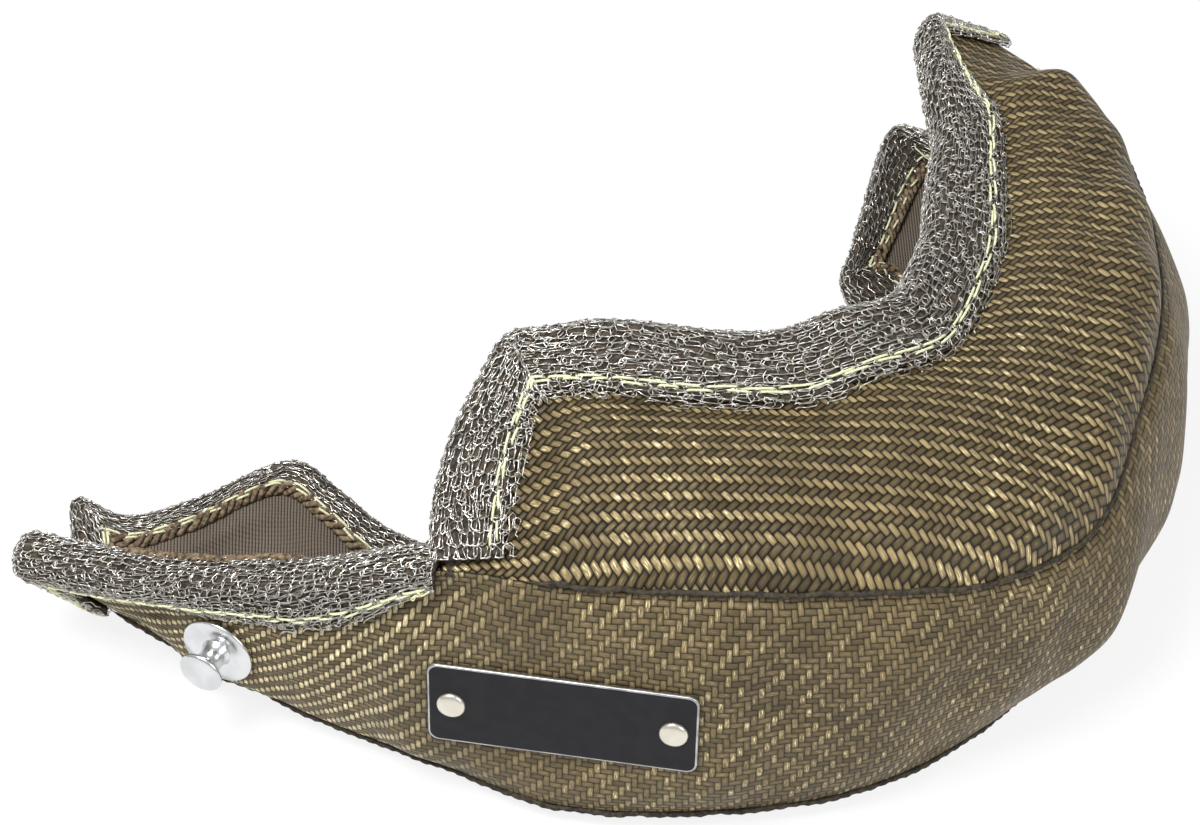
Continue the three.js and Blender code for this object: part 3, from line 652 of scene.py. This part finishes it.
def ribbed_material():
    material, tree, shader = new_material("ribbed_lining", 0.8, sheen=0.2, specular=0.3)
    a, b = yarn_place(tree)
    place = object_place(tree)
    a = a + rough_noise(tree, place, 90, 1) * 0.5
    rib = rounded(a - a.floor())
    stitch = rounded(b - b.floor())
    tone = rough_noise(tree, place, 60, 3)
    # Painted shade: each rib falls to near black in the grooves at its sides, and the stitches are lighter
    # on their crowns
    base = blend_colour(tree, (0.02, 0.015, 0.011, 1), (0.18, 0.144, 0.11, 1), rib.ramp(0.0, 0.85))
    amount = (tone * 0.7 + 0.62) * (stitch * 0.25 + 0.8)
    tree.links.new(shaded(tree, base, amount).socket, shader.inputs["Base Color"])
    raise_by(tree, shader, rib + stitch * 0.25, 0.25)
    return material


# Painted shade: the near-black colour the woven covers fall to in the gaps between yarns, where the yarns
# dip under each other
GAP_SHADE = (0.008, 0.005, 0.002, 1)
# Painted highlight: the colour of the glints on the woven covers
GLINT = (0.8, 0.69, 0.42, 1)
# The first colour of each cover is a lit copy of the second, painted light for the warp and weft fibre
# directions
M_RIM = woven(
    "woven_cover_rim", (0.165, 0.123, 0.058, 1), (0.122, 0.089, 0.04, 1), GLINT, GAP_SHADE, 0.5, 0.8, True,
)
M_FRONT = woven(
    "woven_cover_bias", (0.225, 0.168, 0.078, 1), (0.1, 0.072, 0.03, 1), GLINT, GAP_SHADE, 0.6, 0.75, False,
)
# Brown seam allowance, darkened to near black as painted shade of the crease where the front panel
# overhangs the rim
M_SEAM_SHADE = plain_material("seam_fold_painted_shade", (0.05, 0.036, 0.018, 1), (0.008, 0.006, 0.003, 1), 900, 0.7, 0.25)
M_LINING = ribbed_material()
M_FIBRE = plain_material("fibre_core", (0.75, 0.72, 0.64, 1), (0.6, 0.57, 0.5, 1), 700, 0.9, 0.3)
M_UNDER = plain_material(
    "binding_cloth", (0.08, 0.058, 0.038, 1), (0.012, 0.009, 0.006, 1), 900, 0.85, 0.3,
)
M_WIRE = plain_material(
    "knitted_wire", (0.93, 0.91, 0.86, 1), (0.46, 0.42, 0.36, 1), 700, 0.3, 0.02, metallic=1.0,
)
M_THREAD = plain_material("sewing_thread", (0.8, 0.82, 0.55, 1), (0.62, 0.63, 0.38, 1), 1500, 0.55, 0.1)
M_ROPE = plain_material("brown_cord", (0.26, 0.19, 0.115, 1), (0.07, 0.045, 0.025, 1), 900, 0.85, 0.25)
M_PLATE = plain_material(
    "black_plate", (0.009, 0.009, 0.011, 1), (0.006, 0.006, 0.008, 1), 300, 0.5, 0.01,
)
M_PLATE.node_tree.nodes["Principled BSDF"].inputs["Specular IOR Level"].default_value = 0.3
M_EDGE = plain_material(
    "plate_edge", (0.62, 0.62, 0.63, 1), (0.4, 0.4, 0.4, 1), 300, 0.35, 0.01, metallic=1.0,
)
M_RIVET = plain_material(
    "pale_rivet", (0.8, 0.76, 0.66, 1), (0.72, 0.68, 0.58, 1), 250, 0.3, 0.01, metallic=0.85,
)
M_STEEL = plain_material(
    "stud_steel", (0.82, 0.83, 0.84, 1), (0.68, 0.69, 0.7, 1), 120, 0.25, 0.01, metallic=1.0,
)


# ---------------------------------------------------- covers, padding, linings
def fold(panel, s, v):
    """Soft folds of the cover, none under the bindings or the plate."""
    if panel == "front":
        near = step(s, FRONT_START + 20, FRONT_START + 40) * (1 - step(s, TOTAL - 50, TOTAL - 25))
        across = (1 - step(v, 0.2, 0.62)) * step(v, 0, 0.12)
        return 1.3 * near * across * (0.5 + 0.5 * np.sin(s / 4.1 + np.sin(s / 23)))
    if panel == "rim":
        near = step(s, FRONT_START + 70, FRONT_START + 100) * (1 - step(s, TOTAL - 60, TOTAL - 50))
        across = np.sin(np.pi * v) ** 2
        return 1.6 * near * across * (0.5 + 0.5 * np.sin(s / 5.3 + 2.2 * v + np.sin(s / 17)))
    return np.zeros_like(s)


def loose(panel, s, v):
    """Small unevenness of the cloth, none at hardware or edges."""
    edge = step(v, 0, 0.1) * (1 - step(v, 0.9, 1)) * step(s, 4, 18) * (1 - step(s, TOTAL - 18, TOTAL - 4))
    if panel == "rim":
        surface = quilt(panel, s, v)
        for pad in pads:
            edge = edge * (1 - pad_weights(surface, pad))
    wide = noise(s / 19, v * 3.1, 3) * 0.7
    small = noise(s / 6.5 + v * 2, v * 7 - s / 21, 4) * 0.28
    away = step(s, FRONT_START + 8, FRONT_START + 30) * (1 - step(s, TOTAL - 30, TOTAL - 12))
    if panel == "front":
        pillow = 1.5 * np.sin(np.pi * np.clip(v / 0.34, 0, 1)) ** 0.8 * away
    elif panel == "rim":
        pillow = -0.8 * (1 - step(v, 0, 0.07)) * away
    else:
        pillow = 0
    return (wide + small) * edge + pillow


def yarn_numbers(panel, s, v, points):
    if panel == "front":
        x, y = points[..., 0] / YARN_ALONG, points[..., 1] / YARN_ACROSS
        return np.stack([x + y, y - x], -1)
    return np.stack([s / YARN, v * PANEL_ACROSS / (YARN * 1.06)], -1)


def panel_shell(
    name, panel, start, pitch, top, bottom, material, detail=False, uv_kind="yarn", inner_points=7,
):
    """A layer of a panel between two depths, each a function of place."""
    length = TOTAL - start
    rows = int(length / pitch)
    s = np.linspace(start, TOTAL, rows + 1)
    columns = int(PANEL_ACROSS / pitch)
    v = np.linspace(0, 1, columns + 1)
    s2, v2 = np.meshgrid(s, v, indexing="ij")
    lift = fold(panel, s2, v2) + loose(panel, s2, v2) if detail else fold(panel, s2, v2) * 0
    outer = quilt(panel, s2, v2, top(panel, s2, v2) - lift)
    s3, v3 = np.meshgrid(s, np.linspace(1, 0, inner_points), indexing="ij")
    inner = quilt(panel, s3, v3, bottom(panel, s3, v3))
    rings = np.concatenate([outer, inner], 1)
    base = np.concatenate([quilt(panel, s2, v2), inner], 1)
    every_s, every_v = np.concatenate([s2, s3], 1), np.concatenate([v2, v3], 1)
    if uv_kind == "yarn":
        uv = yarn_numbers(panel, every_s, every_v, base)
    elif panel == "rim":
        uv = np.stack([every_s / RIB, every_v * PANEL_ACROSS / RIB_STITCH], -1)
    else:
        uv = np.stack([base[..., 0] / RIB, base[..., 1] / RIB_STITCH], -1)
    return shell(name, rings, material, uv)


def below_outside(depth):
    """A depth that is the same everywhere."""
    return lambda panel, s, v: np.full_like(s, depth)


def above_inside(height):
    """The depth of a place at a height above the inner skin."""
    return lambda panel, s, v: thickness(panel, s, v) - height


PANELS = {"front": FRONT_START, "rim": 0.0, "back": 0.0}
PITCH = {"front": 0.9, "rim": 0.9, "back": 1.4}
LONG_NAME = {"front": "front_panel", "rim": "rim", "back": "back_panel"}
for panel, start in PANELS.items():
    long_name = LONG_NAME[panel]
    cover = panel_shell(
        f"{long_name}_woven_cover", panel, start, PITCH[panel],
        below_outside(0.0), below_outside(COVER - 0.1),
        M_FRONT if panel != "rim" else M_RIM, detail=True,
    )
    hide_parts(f"{long_name}_cover")
    padding = panel_shell(
        f"{long_name}_padding", panel, start, 3.0, below_outside(COVER + 0.5), above_inside(LINING + 0.5),
        M_FIBRE,
    )
    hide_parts(f"{long_name}_core")
    inside = panel_shell(
        f"{long_name}_ribbed_lining", panel, start, 1.6, above_inside(0.0), above_inside(LINING - 0.1),
        M_LINING, uv_kind="rib",
    )
    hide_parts(f"{long_name}_lining")


# ---------------------------------------------------- edge bindings
def corner_place(corner, x, y):
    """Panel, s and v of a place measured from a corner: x from the end, y from the long edge."""
    if corner == "tail_top":
        return "rim", x, y / panel_width("rim", x)
    if corner == "tail_back":
        return "back", x, 1 - y / panel_width("back", x)
    if corner == "mouth_back":
        return "back", TOTAL - x, 1 - y / panel_width("back", TOTAL - x)
    if corner == "mouth_front":
        return "front", TOTAL - x, 1 - y / panel_width("front", TOTAL - x)
    return "front", FRONT_START + x, 1 - y / panel_width("front", FRONT_START + x)


def roundness(d):
    return np.maximum(CORNER_ROUND - d, 0.35)


def spread(d, t, fade):
    return (d + roundness(d)) * max(0, 1 - t / fade)


def off_skin(panel, s, v, side, h):
    """Points at a height above the outer skin (side 1) or below the inner one (side -1)."""
    return quilt(panel, s, v, -h if side > 0 else thickness(panel, s, v) + h)


def on_long(corner, t, leg=1.0):
    def row(d, side, h):
        e = d * leg
        panel, s, v = corner_place(corner, t + spread(e, t, FADE), e)
        return off_skin(panel, s, v, side, h)
    return row


def on_end(corner, t, leg=1.0, fade=22.0):
    def row(d, side, h):
        e = d * leg
        panel, s, v = corner_place(corner, e, t + spread(e, t, fade))
        return off_skin(panel, s, v, side, h)
    return row


def on_corner(corner, angle, leg=1.0, end_leg=None):
    """A row at a turned corner: angle 0 faces the end edge, a quarter turn the long one."""
    share = angle / (math.pi / 2)
    leg_here = leg if end_leg is None else mix(end_leg, leg, share)

    def row(d, side, h):
        e = d * leg_here
        r = roundness(e)
        panel, s, v = corner_place(corner, e + r * (1 - math.cos(angle)), e + r * (1 - math.sin(angle)))
        return off_skin(panel, s, v, side, h)
    return row


def on_seam(from_end, one, v_one, two, v_two, leg=1.0):
    def row(d, side, h):
        s = from_end(d * leg)
        return (off_skin(one, s, v_one, side, h) + off_skin(two, s, v_two, side, h)) / 2
    return row


def on_rim_end(t, width, leg):
    def row(d, side, h):
        s = TOTAL - d * leg
        v = np.full_like(s, t / width)
        return off_skin("rim", s, v, side, h)
    return row


def span(a, b, pitch):
    n = max(1, round(abs(b - a) / pitch))
    return np.linspace(a, b, n + 1)


def tail_leg(t):
    return mix(TAIL_LEG, 0.8, float(step(t, 22, 58))) * mix(1, 0.42, float(step(t, 66, FRONT_START - 2)))


def back_leg(t):
    return mix(TAIL_END_LEG, 1.0, float(step(t, 40, 90)))


QUARTER = np.radians(np.linspace(0, 90, 9))
FINE = 1.6
rim_tail, back_tail = float(panel_width("rim", 0.0)), float(panel_width("back", 0.0))
rim_mouth, back_mouth = float(panel_width("rim", TOTAL)), float(panel_width("back", TOTAL))
front_mouth, front_left = float(panel_width("front", TOTAL)), float(panel_width("front", FRONT_START))

STRIPS = {
    "tail": [
        *[on_long("tail_top", t, tail_leg(t)) for t in span(FRONT_START - 1.5, 1.5, FINE)],
        *[on_corner("tail_top", a, TAIL_LEG, TAIL_END_LEG) for a in QUARTER[::-1]],
        *[on_end("tail_top", t, TAIL_END_LEG) for t in span(2, rim_tail - 3, FINE)],
        on_seam(lambda d: d * TAIL_END_LEG, "rim", 1.0, "back", 0.0),
        *[on_end("tail_back", t, TAIL_END_LEG) for t in span(back_tail - 5, TAIL_JOINT, FINE)],
    ],
    "back": [
        *[on_end("tail_back", t, TAIL_END_LEG) for t in span(TAIL_JOINT, 1.5, FINE)],
        *[on_corner("tail_back", a, TAIL_END_LEG) for a in QUARTER],
        *[on_long("tail_back", t, back_leg(t)) for t in span(2, 90, FINE)],
        *[on_long("mouth_back", t) for t in span(TOTAL - 92, 2, 2.5)],
        *[on_corner("mouth_back", a, 1.0, MOUTH_LEG) for a in QUARTER[::-1]],
        *[on_end("mouth_back", t, MOUTH_LEG) for t in span(2, MOUTH_JOINT, FINE)],
    ],
    "mouth": [
        *[on_end("mouth_back", t, MOUTH_LEG) for t in span(MOUTH_JOINT, back_mouth - 4, FINE)],
        on_seam(lambda d: TOTAL - d * MOUTH_LEG, "back", 0.0, "rim", 1.0),
        *[on_rim_end(t, rim_mouth, MOUTH_LEG) for t in span(rim_mouth - 5, 4, FINE)],
    ],
    "front": [
        on_seam(lambda d: TOTAL - d * SHORT, "rim", 0.0, "front", 0.0),
        *[on_end("mouth_front", t, SHORT, 16.0) for t in span(front_mouth - 5, 2, FINE)],
        *[on_corner("mouth_front", a, SHORT) for a in QUARTER],
        *[on_long("mouth_front", t, mix(SHORT, 1.0, t / 30)) for t in span(2, 30, FINE)],
        *[on_long("mouth_front", t) for t in span(30 + FINE, TOTAL - FRONT_START - 30 - FINE, FINE)],
        *[on_long("front_left", t) for t in span(30, 1.5, FINE)],
        *[on_corner("front_left", a) for a in QUARTER[::-1]],
        *[on_end("front_left", t) for t in span(2, front_left - 2.5, FINE)],
    ],
}


class Strip:
    """The surface of one folded strip: u runs along the edge, c across it from leg to leg."""

    CLOTH = 1.25

    def __init__(self, rows):
        reach = np.concatenate([np.linspace(LEG + FRINGE, LEG, 4)[:-1], np.linspace(LEG, 0, 14)])
        leg = reach[3:]
        height = LEG_GAP + self.CLOTH - 0.55 * np.exp(-(((leg - STITCH_AT) / 1.6) ** 2))
        height -= 0.75 * step(leg, LEG - 2.0, LEG)
        reach_height = np.concatenate([[0.15, 0.4, 0.8], height])
        angles = np.radians(np.linspace(0, 180, 13))[1:-1]
        lines = []
        for row in rows:
            outer, inner = row(reach, 1, reach_height), row(leg, -1, height)
            ends = np.array([0.0, 2.0])
            middle = (row(ends, 1, 0 * ends) + row(ends, -1, 0 * ends)) / 2
            out = unit(middle[0] - middle[1])
            centre, half = (outer[-1] + inner[-1]) / 2, (outer[-1] - inner[-1]) / 2
            nose = centre + half * col(np.cos(angles)) + out * col(NOSE * 0.95 * np.sin(angles))
            lines.append(np.concatenate([outer, nose, inner[::-1]]))
        raw = np.array(lines)
        under = np.full(7, LEG_GAP - 0.4)
        self.pocket = np.array([
            np.concatenate([row(leg[::-2], -1, under)[::-1], row(leg[::-2], 1, under)]) for row in rows
        ])
        self.stops = stops_of(raw[:, 17 + 5])
        self.length = self.stops[-1]
        mean_cross = np.linalg.norm(np.diff(raw, axis=1), axis=2).mean(0)
        across = np.concatenate([[0], np.cumsum(mean_cross)])
        self.width = across[-1]
        self.fringe, self.leg = across[3], across[16] - across[3]
        self.stitch_in = self.leg * (1 - STITCH_AT / LEG)
        count = int(self.width / 0.8)
        even = np.linspace(0, self.width, count + 1)
        self.cloth_from = int(np.ceil(self.fringe / self.width * count))
        self.table = np.array([resampled(line, across, even) for line in raw])
        rows_even = np.linspace(0, self.length, int(self.length / 0.8) + 1)
        lines = [resampled(self.table[:, c], self.stops, rows_even) for c in range(count + 1)]
        self.grid = np.stack(lines, 1)
        du, dc = np.gradient(self.grid, axis=0), np.gradient(self.grid, axis=1)
        self.normal = unit(np.cross(du, dc))
        middle = self.grid[len(rows_even) // 2]
        outward = middle[count // 2] - (middle[0] + middle[-1]) / 2
        if (self.normal[len(rows_even) // 2, count // 2] * outward).sum() < 0:
            self.normal = -self.normal

    def at(self, u, c, h):
        """Points at u along and c across, both in mm, and h above the cloth."""
        fu = np.clip(u / self.length, 0, 1) * (self.grid.shape[0] - 1)
        fc = np.clip(c / self.width, 0, 1) * (self.grid.shape[1] - 1)
        i = np.minimum(fu.astype(int), self.grid.shape[0] - 2)
        j = np.minimum(fc.astype(int), self.grid.shape[1] - 2)
        tu, tc = col(fu - i), col(fc - j)

        def read(table):
            low = mix(table[i, j], table[i + 1, j], tu)
            high = mix(table[i, j + 1], table[i + 1, j + 1], tu)
            return mix(low, high, tc)

        normal = unit(read(self.normal))
        return read(self.grid) + normal * col(h), normal


def knit(strip, course, wale, seed, c_from, c_to, per_loop, lift):
    """Courses of knitted wire across the strip, each one path with its normals."""
    random = np.random.default_rng(seed)
    paths, ups = [], []
    loops = max(2, round((c_to - c_from) / wale))
    width = (c_to - c_from) / loops
    t = np.linspace(0, 2 * np.pi * loops, per_loop * loops + 1)
    for n in range(int(strip.length / course) + 1):
        u0 = n * course + random.uniform(-0.25, 0.25)
        ragged = random.uniform(0, 1.8) * (1 - t / t[-1]) ** 9
        offset = (n % 2) * width * 0.5
        c = c_from + 0.42 * np.sin(2 * t) + t * width / (2 * np.pi) + ragged + offset
        drift = noise(t * 0.35, np.full_like(t, n * 0.37), seed + 1) * 0.9
        u = u0 + course * 0.66 * np.cos(t) + drift
        c = c + noise(t * 0.4 + 9, np.full_like(t, n * 0.41), seed + 2) * 0.7
        h = lift + 0.17 * np.cos(2 * t) + 0.16 * noise(t * 0.6, np.full_like(t, n * 0.5), seed + 3)
        points, normal = strip.at(np.clip(u, 0, strip.length), c, h)
        paths.append(points)
        ups.append(normal)
    return paths, ups


strips = {}
for name, rows in STRIPS.items():
    strip = Strip(rows)
    strips[name] = strip
    rings = np.concatenate([strip.table[:, strip.cloth_from:], strip.pocket], 1)
    cloth = shell(f"{name}_edge_cloth", rings, M_UNDER)
    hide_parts(f"{name}_edge_binding")
    seen = name != "back"
    paths, ups = knit(strip, 2.5, 2.6, 11, 0.2, strip.width - 1.2, 8 if seen else 6, 0.3)
    tubes(f"{name}_edge_wire", paths, 0.16, 3, M_WIRE, ups)
    if seen:
        paths, ups = knit(strip, 2.9, 2.75, 23, 0.6, strip.width * 0.74, 8, 0.6)
        tubes(f"{name}_edge_wire_outer", paths, 0.16, 3, M_WIRE, ups)


# ---------------------------------------------------- sewing thread
def dashes(strip, c, pitch, dash, start, seed, height=0.75, ends=0.0):
    """Running stitches along a strip at c across it."""
    random = np.random.default_rng(seed)
    paths, ups = [], []
    u = start
    while u + dash < strip.length - 1:
        long = dash * random.uniform(0.85, 1.12)
        t = np.linspace(0, 1, 9)
        arch = np.minimum(1, np.sin(np.pi * np.clip(t, 0.001, 0.999)) * 2.2)
        side = c + random.uniform(-0.25, 0.25) + (t - 0.5) * random.uniform(-0.5, 0.5)
        points, normal = strip.at(u + t * long, side, ends - 0.5 + (height + 0.5) * arch)
        paths.append(points)
        ups.append(normal)
        u += pitch * random.uniform(0.93, 1.07)
    return paths, ups


for name, strip in strips.items():
    outer_row = strip.fringe + strip.stitch_in + (1.7 if name == "tail" else 0)
    paths, ups = dashes(strip, outer_row, 6.4, 5.5, 1.0, 5)
    more, more_ups = dashes(strip, outer_row - 0.85, 6.4, 4.6, 4.2, 6)
    inner_row = strip.width - strip.stitch_in
    inside, inside_ups = dashes(strip, inner_row, 6.4, 5.0, 2.0, 8)
    inside2, inside_ups2 = dashes(strip, inner_row + 1.6, 7.7, 4.0, 3.0, 9)
    stitches = tubes(
        f"{name}_edge_stitches", paths + more + inside + inside2, 0.28, 6, M_THREAD,
        ups + more_ups + inside_ups + inside_ups2,
    )
    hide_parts(f"{name}_edge_thread")


# ---------------------------------------------------- brown overlock cord
def twisted(line, normals, radius, ply, pitch, seed):
    """Plies twisted round a line, as paths."""
    random = np.random.default_rng(seed)
    stops = stops_of(line)
    even = np.arange(0, stops[-1], 0.55)
    centre = resampled(line, stops, even)
    up = unit(resampled(normals, stops, even))
    side = unit(np.cross(unit(np.gradient(centre, axis=0)), up))
    wobble = noise(even / 7, even * 0, seed) * 0.7
    paths = []
    for n in range(ply):
        angle = 2 * np.pi * (even / pitch + n / ply) + wobble + random.uniform(-0.2, 0.2)
        across, high = radius * 1.5 * np.cos(angle), radius * 0.8 * np.sin(angle)
        paths.append(centre + side * col(across) + up * col(high))
    return paths, [up] * ply


for name, strip in strips.items():
    u = np.arange(0, strip.length, 0.8)
    c = np.full_like(u, strip.width - 0.1)
    wave = 0.25 * noise(u / 5, u * 0, 31)
    line, normals = strip.at(u, c, -0.4 + wave)
    paths, ups = twisted(line, normals, 0.75, 3, 6.5, 17)
    tubes(f"{name}_edge_cord", paths, 0.72, 6, M_ROPE, ups)


# The tail strip's cord also shows over its fold, near the tail
tail = strips["tail"]
u = np.arange(34.0, 80.0, 0.8)
c = np.full_like(u, tail.width - tail.leg - 1.2)
line, normals = tail.at(u, c, 0.35 + 0.3 * noise(u / 6, u * 0, 33))
paths, ups = twisted(line, normals, 0.6, 3, 6.0, 19)
tubes("tail_edge_cord_top", paths, 0.55, 6, M_ROPE, ups)

# Tucked cloth in the corners where two strips meet
TUCK = np.sin(np.linspace(0.5, 2.64, 8)) ** 0.5
v = np.linspace(-0.03, 0.12, 8)
for name, inset, depth, radius in (("front_tuck", 0.6, 2.6, 2.3), ("front_tuck_outer", 1.4, 1.3, 1.7)):
    line = quilt("front", np.full_like(v, FRONT_START + inset), v, depth)
    tubes(name, [line], radius * TUCK, 14, M_UNDER)

line = quilt("rim", np.full_like(v, TOTAL - 0.6), v + 0.02, 2.6)
tubes("mouth_tuck", [line], 2.4 * TUCK, 14, M_UNDER)


def loose_ends(name, strip, places, seed):
    """Short tails of thread hanging at knots."""
    random = np.random.default_rng(seed)
    paths, ups = [], []
    for u0, c0 in places:
        for _ in range(4):
            t = np.linspace(0, 1, 12)
            way, curl = random.uniform(-1, 1, 2), random.uniform(-1.5, 1.5)
            u1 = u0 + way[0] * 4 * t + curl * np.sin(3 * t)
            c1 = c0 + way[1] * 3 * t + curl * np.cos(4 * t) - curl
            points, normal = strip.at(u1, c1, 0.9 + 0.8 * np.sin(np.pi * t) * random.uniform(0.4, 1))
            paths.append(points)
            ups.append(normal)
    tubes(name, paths, 0.2, 5, M_THREAD, ups)


for name, strip in strips.items():
    near = strip.fringe + strip.stitch_in
    far = strip.width - strip.stitch_in
    loose_ends(f"{name}_edge_thread_ends", strip, [(3.0, near), (strip.length * 0.5, far)], 61)


# ---------------------------------------------------- seam lips
def seam_lip(name, panel, v, start, stop, sides=8):
    s = np.arange(start, stop, 0.8)
    line = quilt(panel, s, np.full_like(s, v), -0.1)
    wave = noise(s / 4, s * 0, 51) * 0.4
    other = quilt(panel, s, np.full_like(s, v + (0.02 if v < 0.5 else -0.02)), 0.0)
    away = unit(line - other)
    up = unit(np.cross(away, unit(np.gradient(line, axis=0))))
    centre = line + away * col(0.35 + wave)
    radius = 0.66 + 0.13 * np.sin(s * 2 * np.pi / 2.6) + 0.14 * noise(s / 3, s * 0, 52)
    radius *= 0.08 + 0.92 * step(s, start, start + 8) * (1 - step(s, stop - 26, stop - 4))
    return tubes(name, [centre], [radius], sides, M_SEAM_SHADE, [up])


# The lips wear the seam colour darkened as painted shade of the seam creases
seam_lip("top_seam_lip", "rim", 0.0, FRONT_START + 16, TOTAL - 12)
seam_lip("foot_seam_lip", "rim", 1.0, 5, TOTAL - 12)


# ---------------------------------------------------- name plate and rivets
def rounded_outline(half_x, half_y, corner, steps=8):
    points = []
    for cx, cy, first in ((1, -1, -90), (1, 1, 0), (-1, 1, 90), (-1, -1, 180)):
        for angle in np.radians(np.linspace(first, first + 90, steps + 1)):
            points.append([
                cx * (half_x - corner) + corner * math.cos(angle),
                cy * (half_y - corner) + corner * math.sin(angle),
            ])
    return np.array(points)


def plate_rings(insets):
    rings = []
    for inset, z in insets:
        flat = rounded_outline(PLATE[0] / 2 - inset, PLATE[1] / 2 - inset, PLATE_CORNER - inset * 0.5)
        rings.append(np.concatenate([flat, np.full((len(flat), 1), z)], 1))
    base = _plate_pad["centre"] + _plate_pad["out"] * GAP
    return on_pad(_plate_pad, base, np.array(rings))


# Each profile is a list of inset and height, or of radius and height
BODY = [(0.35, 0.02), (0.02, 0.15), (0, 0.3), (0, 0.78), (0.1, 0.92), (0.3, 0.98)]
FACE = [(0.5, 0.9), (0.42, 1.0), (0.5, 1.04), (0.8, 1.05)]
RIVET = [
    (0.05, -0.2), (3.0, -0.2), (3.0, 0.25), (2.93, 0.5), (2.7, 0.75),
    (2.2, 0.95), (1.4, 1.08), (0.6, 1.14), (0.05, 1.15),
]
plate = shell("plate_body", plate_rings(BODY), M_EDGE)
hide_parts("name_plate")
shell("plate_face", plate_rings(FACE), M_PLATE)

for n, x in enumerate((-RIVET_SPACING / 2, RIVET_SPACING / 2)):
    height = GAP + PLATE[2] + 0.05
    rivet = lathe(f"rivet_head_{n + 1}", RIVET, _plate_pad, x, height, M_RIVET)
    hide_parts(f"plate_rivet_{n + 1}")

for n, pad in enumerate(_stud_pads):
    base = GAP + 1.1
    top = base + GAP + STUD_STANDOFF
    disc = STUD_BASE / 2
    washer = lathe(
        f"stud_{n + 1}_base_disc",
        [(0.05, 0.0), (disc - 0.2, 0.0), (disc, 0.2), (disc, 0.85), (disc - 0.25, 1.1),
         (3.0, 1.12), (0.05, 1.12)],
        pad, 0, GAP, M_STEEL,
    )
    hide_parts(f"lacing_stud_{n + 1}_base")
    r, post = STUD_HEAD / 2, STUD_POST / 2
    stud = lathe(
        f"stud_{n + 1}_turned",
        [(0.05, 0.3), (post + 0.8, 0.3), (post + 0.5, base + 0.1), (post, base + 0.6),
         (post - 0.15, base + 2.5), (post, top - 0.5), (r - 0.5, top),
         (r - 0.1, top + 0.25), (r, top + 0.55), (r - 0.05, top + 0.85),
         (r - 0.35, top + 1.15), (r - 0.8, top + 1.27), (2.0, top + 1.3), (0.05, top + 1.3)],
        pad, 0, 0, M_STEEL,
    )
    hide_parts(f"lacing_stud_{n + 1}")

for n in (1, 2):
    for node in (f"plate_rivet_burr_{n}", f"lacing_stud_{n}_backing"):
        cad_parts[node].data.materials.clear()
        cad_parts[node].data.materials.append(M_STEEL)


# ---------------------------------------------------- floor, light, camera
def direct_or(tree, other):
    """One for rays straight from the camera and for one other kind."""
    path = tree.nodes.new("ShaderNodeLightPath")
    return Value(tree, path.outputs["Is Camera Ray"]).op("MAXIMUM", Value(tree, path.outputs[other]))


def flat_material(name, colour, share):
    """Pale for the eye, shaded as its colour for the light."""
    material, tree, shader = new_material(name, 1.0, specular=0.0)
    shader.inputs["Base Color"].default_value = colour
    glow = tree.nodes.new("ShaderNodeEmission")
    glow.inputs["Color"].default_value = (1, 1, 1, 1)
    glow.inputs["Strength"].default_value = 1.0
    blend = tree.nodes.new("ShaderNodeMixShader")
    plug(tree, direct_or(tree, "Is Glossy Ray") * share, blend.inputs[0])
    tree.links.new(shader.outputs[0], blend.inputs[1])
    tree.links.new(glow.outputs[0], blend.inputs[2])
    tree.links.new(blend.outputs[0], tree.nodes["Material Output"].inputs["Surface"])
    return material


floor_mesh = bpy.data.meshes.new("floor")
floor_mesh.from_pydata([(-3, -3, 0), (3, -3, 0), (3, 3, 0), (-3, 3, 0)], [], [(0, 1, 2, 3)])
floor_mesh.materials.append(flat_material("floor", (0.9, 0.9, 0.9, 1), 0.84))
placed("floor", floor_mesh)

world = bpy.data.worlds.new("studio")
bpy.context.scene.world = world
world.use_nodes = True
tree = world.node_tree
background = tree.nodes["Background"]
background.inputs["Color"].default_value = (0.97, 0.98, 1.0, 1)
plug(tree, direct_or(tree, "Is Transmission Ray") * 0.52 + 0.48, background.inputs["Strength"])


def lamp(name, place, target, size, power):
    data = bpy.data.lights.new(name, "AREA")
    data.shape, data.size, data.energy = "DISK", size, power
    obj = placed(name, data)
    obj.location = place
    way = np.array(target) - np.array(place)
    obj.rotation_euler = Vector(way).to_track_quat("-Z", "Y").to_euler()
    return obj


LIT = (0, 0, 0.03)
lamp("key", (-0.35, -0.25, 0.95), LIT, 0.4, 10.5)
lamp("fill", (0.7, -0.6, 0.7), LIT, 0.6, 4.0)

CAMERA_FAR, CAMERA_RISE, CAMERA_LENS = 0.640, math.radians(46.5), 85.44
CAMERA_AIM = (-23.6996, -14.9378, 30.0)
target = to_part(CAMERA_AIM)
camera_data = bpy.data.cameras.new("camera")
camera_data.sensor_width, camera_data.lens = 36.0, CAMERA_LENS
camera_data.clip_start, camera_data.clip_end = 0.01, 20.0
camera = placed("camera", camera_data)
camera.location = target + CAMERA_FAR * np.array([0, -math.cos(CAMERA_RISE), math.sin(CAMERA_RISE)])
camera.rotation_euler = (math.pi / 2 - CAMERA_RISE, 0, 0)
bpy.context.scene.camera = camera
bpy.context.scene.view_settings.view_transform = "Standard"
